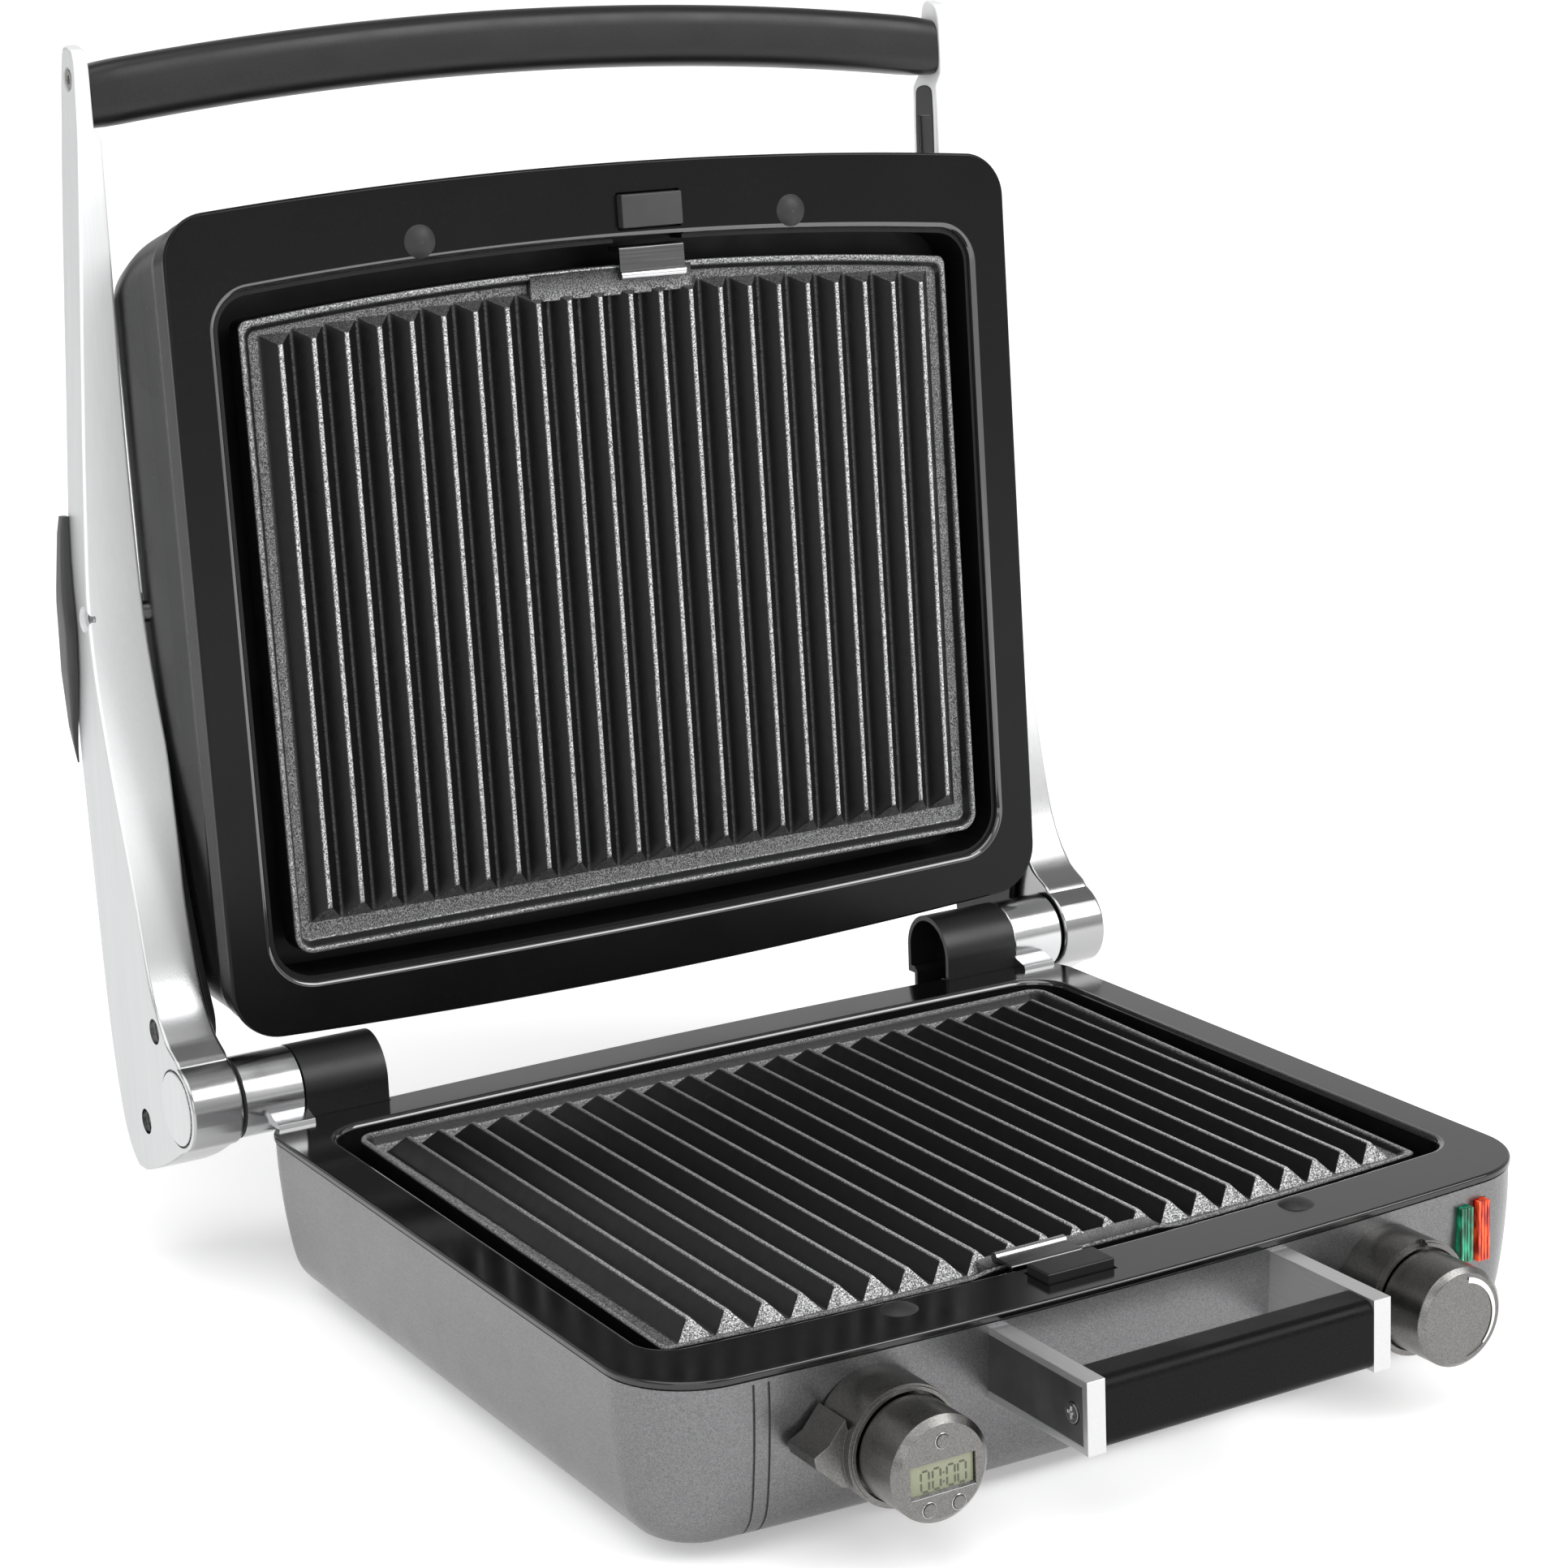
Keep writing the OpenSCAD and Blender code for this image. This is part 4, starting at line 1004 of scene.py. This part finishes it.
world = bpy.data.worlds.new("studio")
scene.world = world
world.use_nodes = True
wt = world.node_tree
bg = wt.nodes["Background"]
tc = wt.nodes.new("ShaderNodeTexCoord")
sep = wt.nodes.new("ShaderNodeSeparateXYZ")
ramp = wt.nodes.new("ShaderNodeValToRGB")
wt.links.new(tc.outputs["Generated"], sep.inputs[0])
wt.links.new(sep.outputs[2], ramp.inputs[0])
wt.links.new(ramp.outputs[0], bg.inputs[0])
ramp.color_ramp.elements[0].position = 0.0
ramp.color_ramp.elements[0].color = (0.85, 0.85, 0.85, 1)
ramp.color_ramp.elements[1].position = 0.75
ramp.color_ramp.elements[1].color = (0.3, 0.3, 0.3, 1)
for stop, level in ((0.09, 0.42), (0.2, 0.8), (0.45, 0.55)):
    ramp.color_ramp.elements.new(stop).color = (level, level, level, 1)


def aim(ob, target):
    ob.rotation_euler = (Vector(target) - ob.location).to_track_quat("-Z", "Y").to_euler()


def softbox(name, place, target, w, h, radiance):
    light = bpy.data.lights.new(name, "AREA")
    light.shape = "RECTANGLE"
    light.size, light.size_y = w, h
    light.energy = radiance * pi * w * h
    ob = bpy.data.objects.new(name, light)
    ob.location = place
    scene.collection.objects.link(ob)
    aim(ob, target)
    return ob


CENTRE = (0, 0, 0.2)
softbox("key", (1.15, -1.45, 1.6), CENTRE, 1.5, 1.3, 5.0)
softbox("left", (-1.9, 0.4, 1.0), CENTRE, 0.9, 1.3, 0.6)
softbox("fill", (-1.3, -2.0, 0.9), CENTRE, 1.5, 1.2, 1.5)
sun = bpy.data.lights.new("overhead", "SUN")
sun.energy = 1.5
sun.angle = radians(60)
sun_ob = bpy.data.objects.new("overhead", sun)
scene.collection.objects.link(sun_ob)
sun_ob.rotation_euler = (radians(12), radians(-14), 0)

# camera at the photograph's viewpoint
AZ, EL, ROLL = radians(30.79), radians(-13.82), radians(-2.01)
EYE = Vector((-0.6064, -1.0226, 0.478))
cam = bpy.data.cameras.new("camera")
cam.sensor_width = 36
cam.lens = 82.55
cam.shift_x = -0.0445
cam.shift_y = 0.0004
cam.clip_end = 200
cam_ob = bpy.data.objects.new("camera", cam)
scene.collection.objects.link(cam_ob)
fwd = Vector((sin(AZ) * cos(EL), cos(AZ) * cos(EL), sin(EL)))
right = Vector((cos(AZ), -sin(AZ), 0))
up = right.cross(fwd)
r2 = cos(ROLL) * right + sin(ROLL) * up
u2 = -sin(ROLL) * right + cos(ROLL) * up
cam_ob.matrix_world = Matrix((
    (r2.x, u2.x, -fwd.x, EYE.x), (r2.y, u2.y, -fwd.y, EYE.y), (r2.z, u2.z, -fwd.z, EYE.z),
    (0, 0, 0, 1)))
scene.camera = cam_ob
scene.view_settings.view_transform = "Standard"
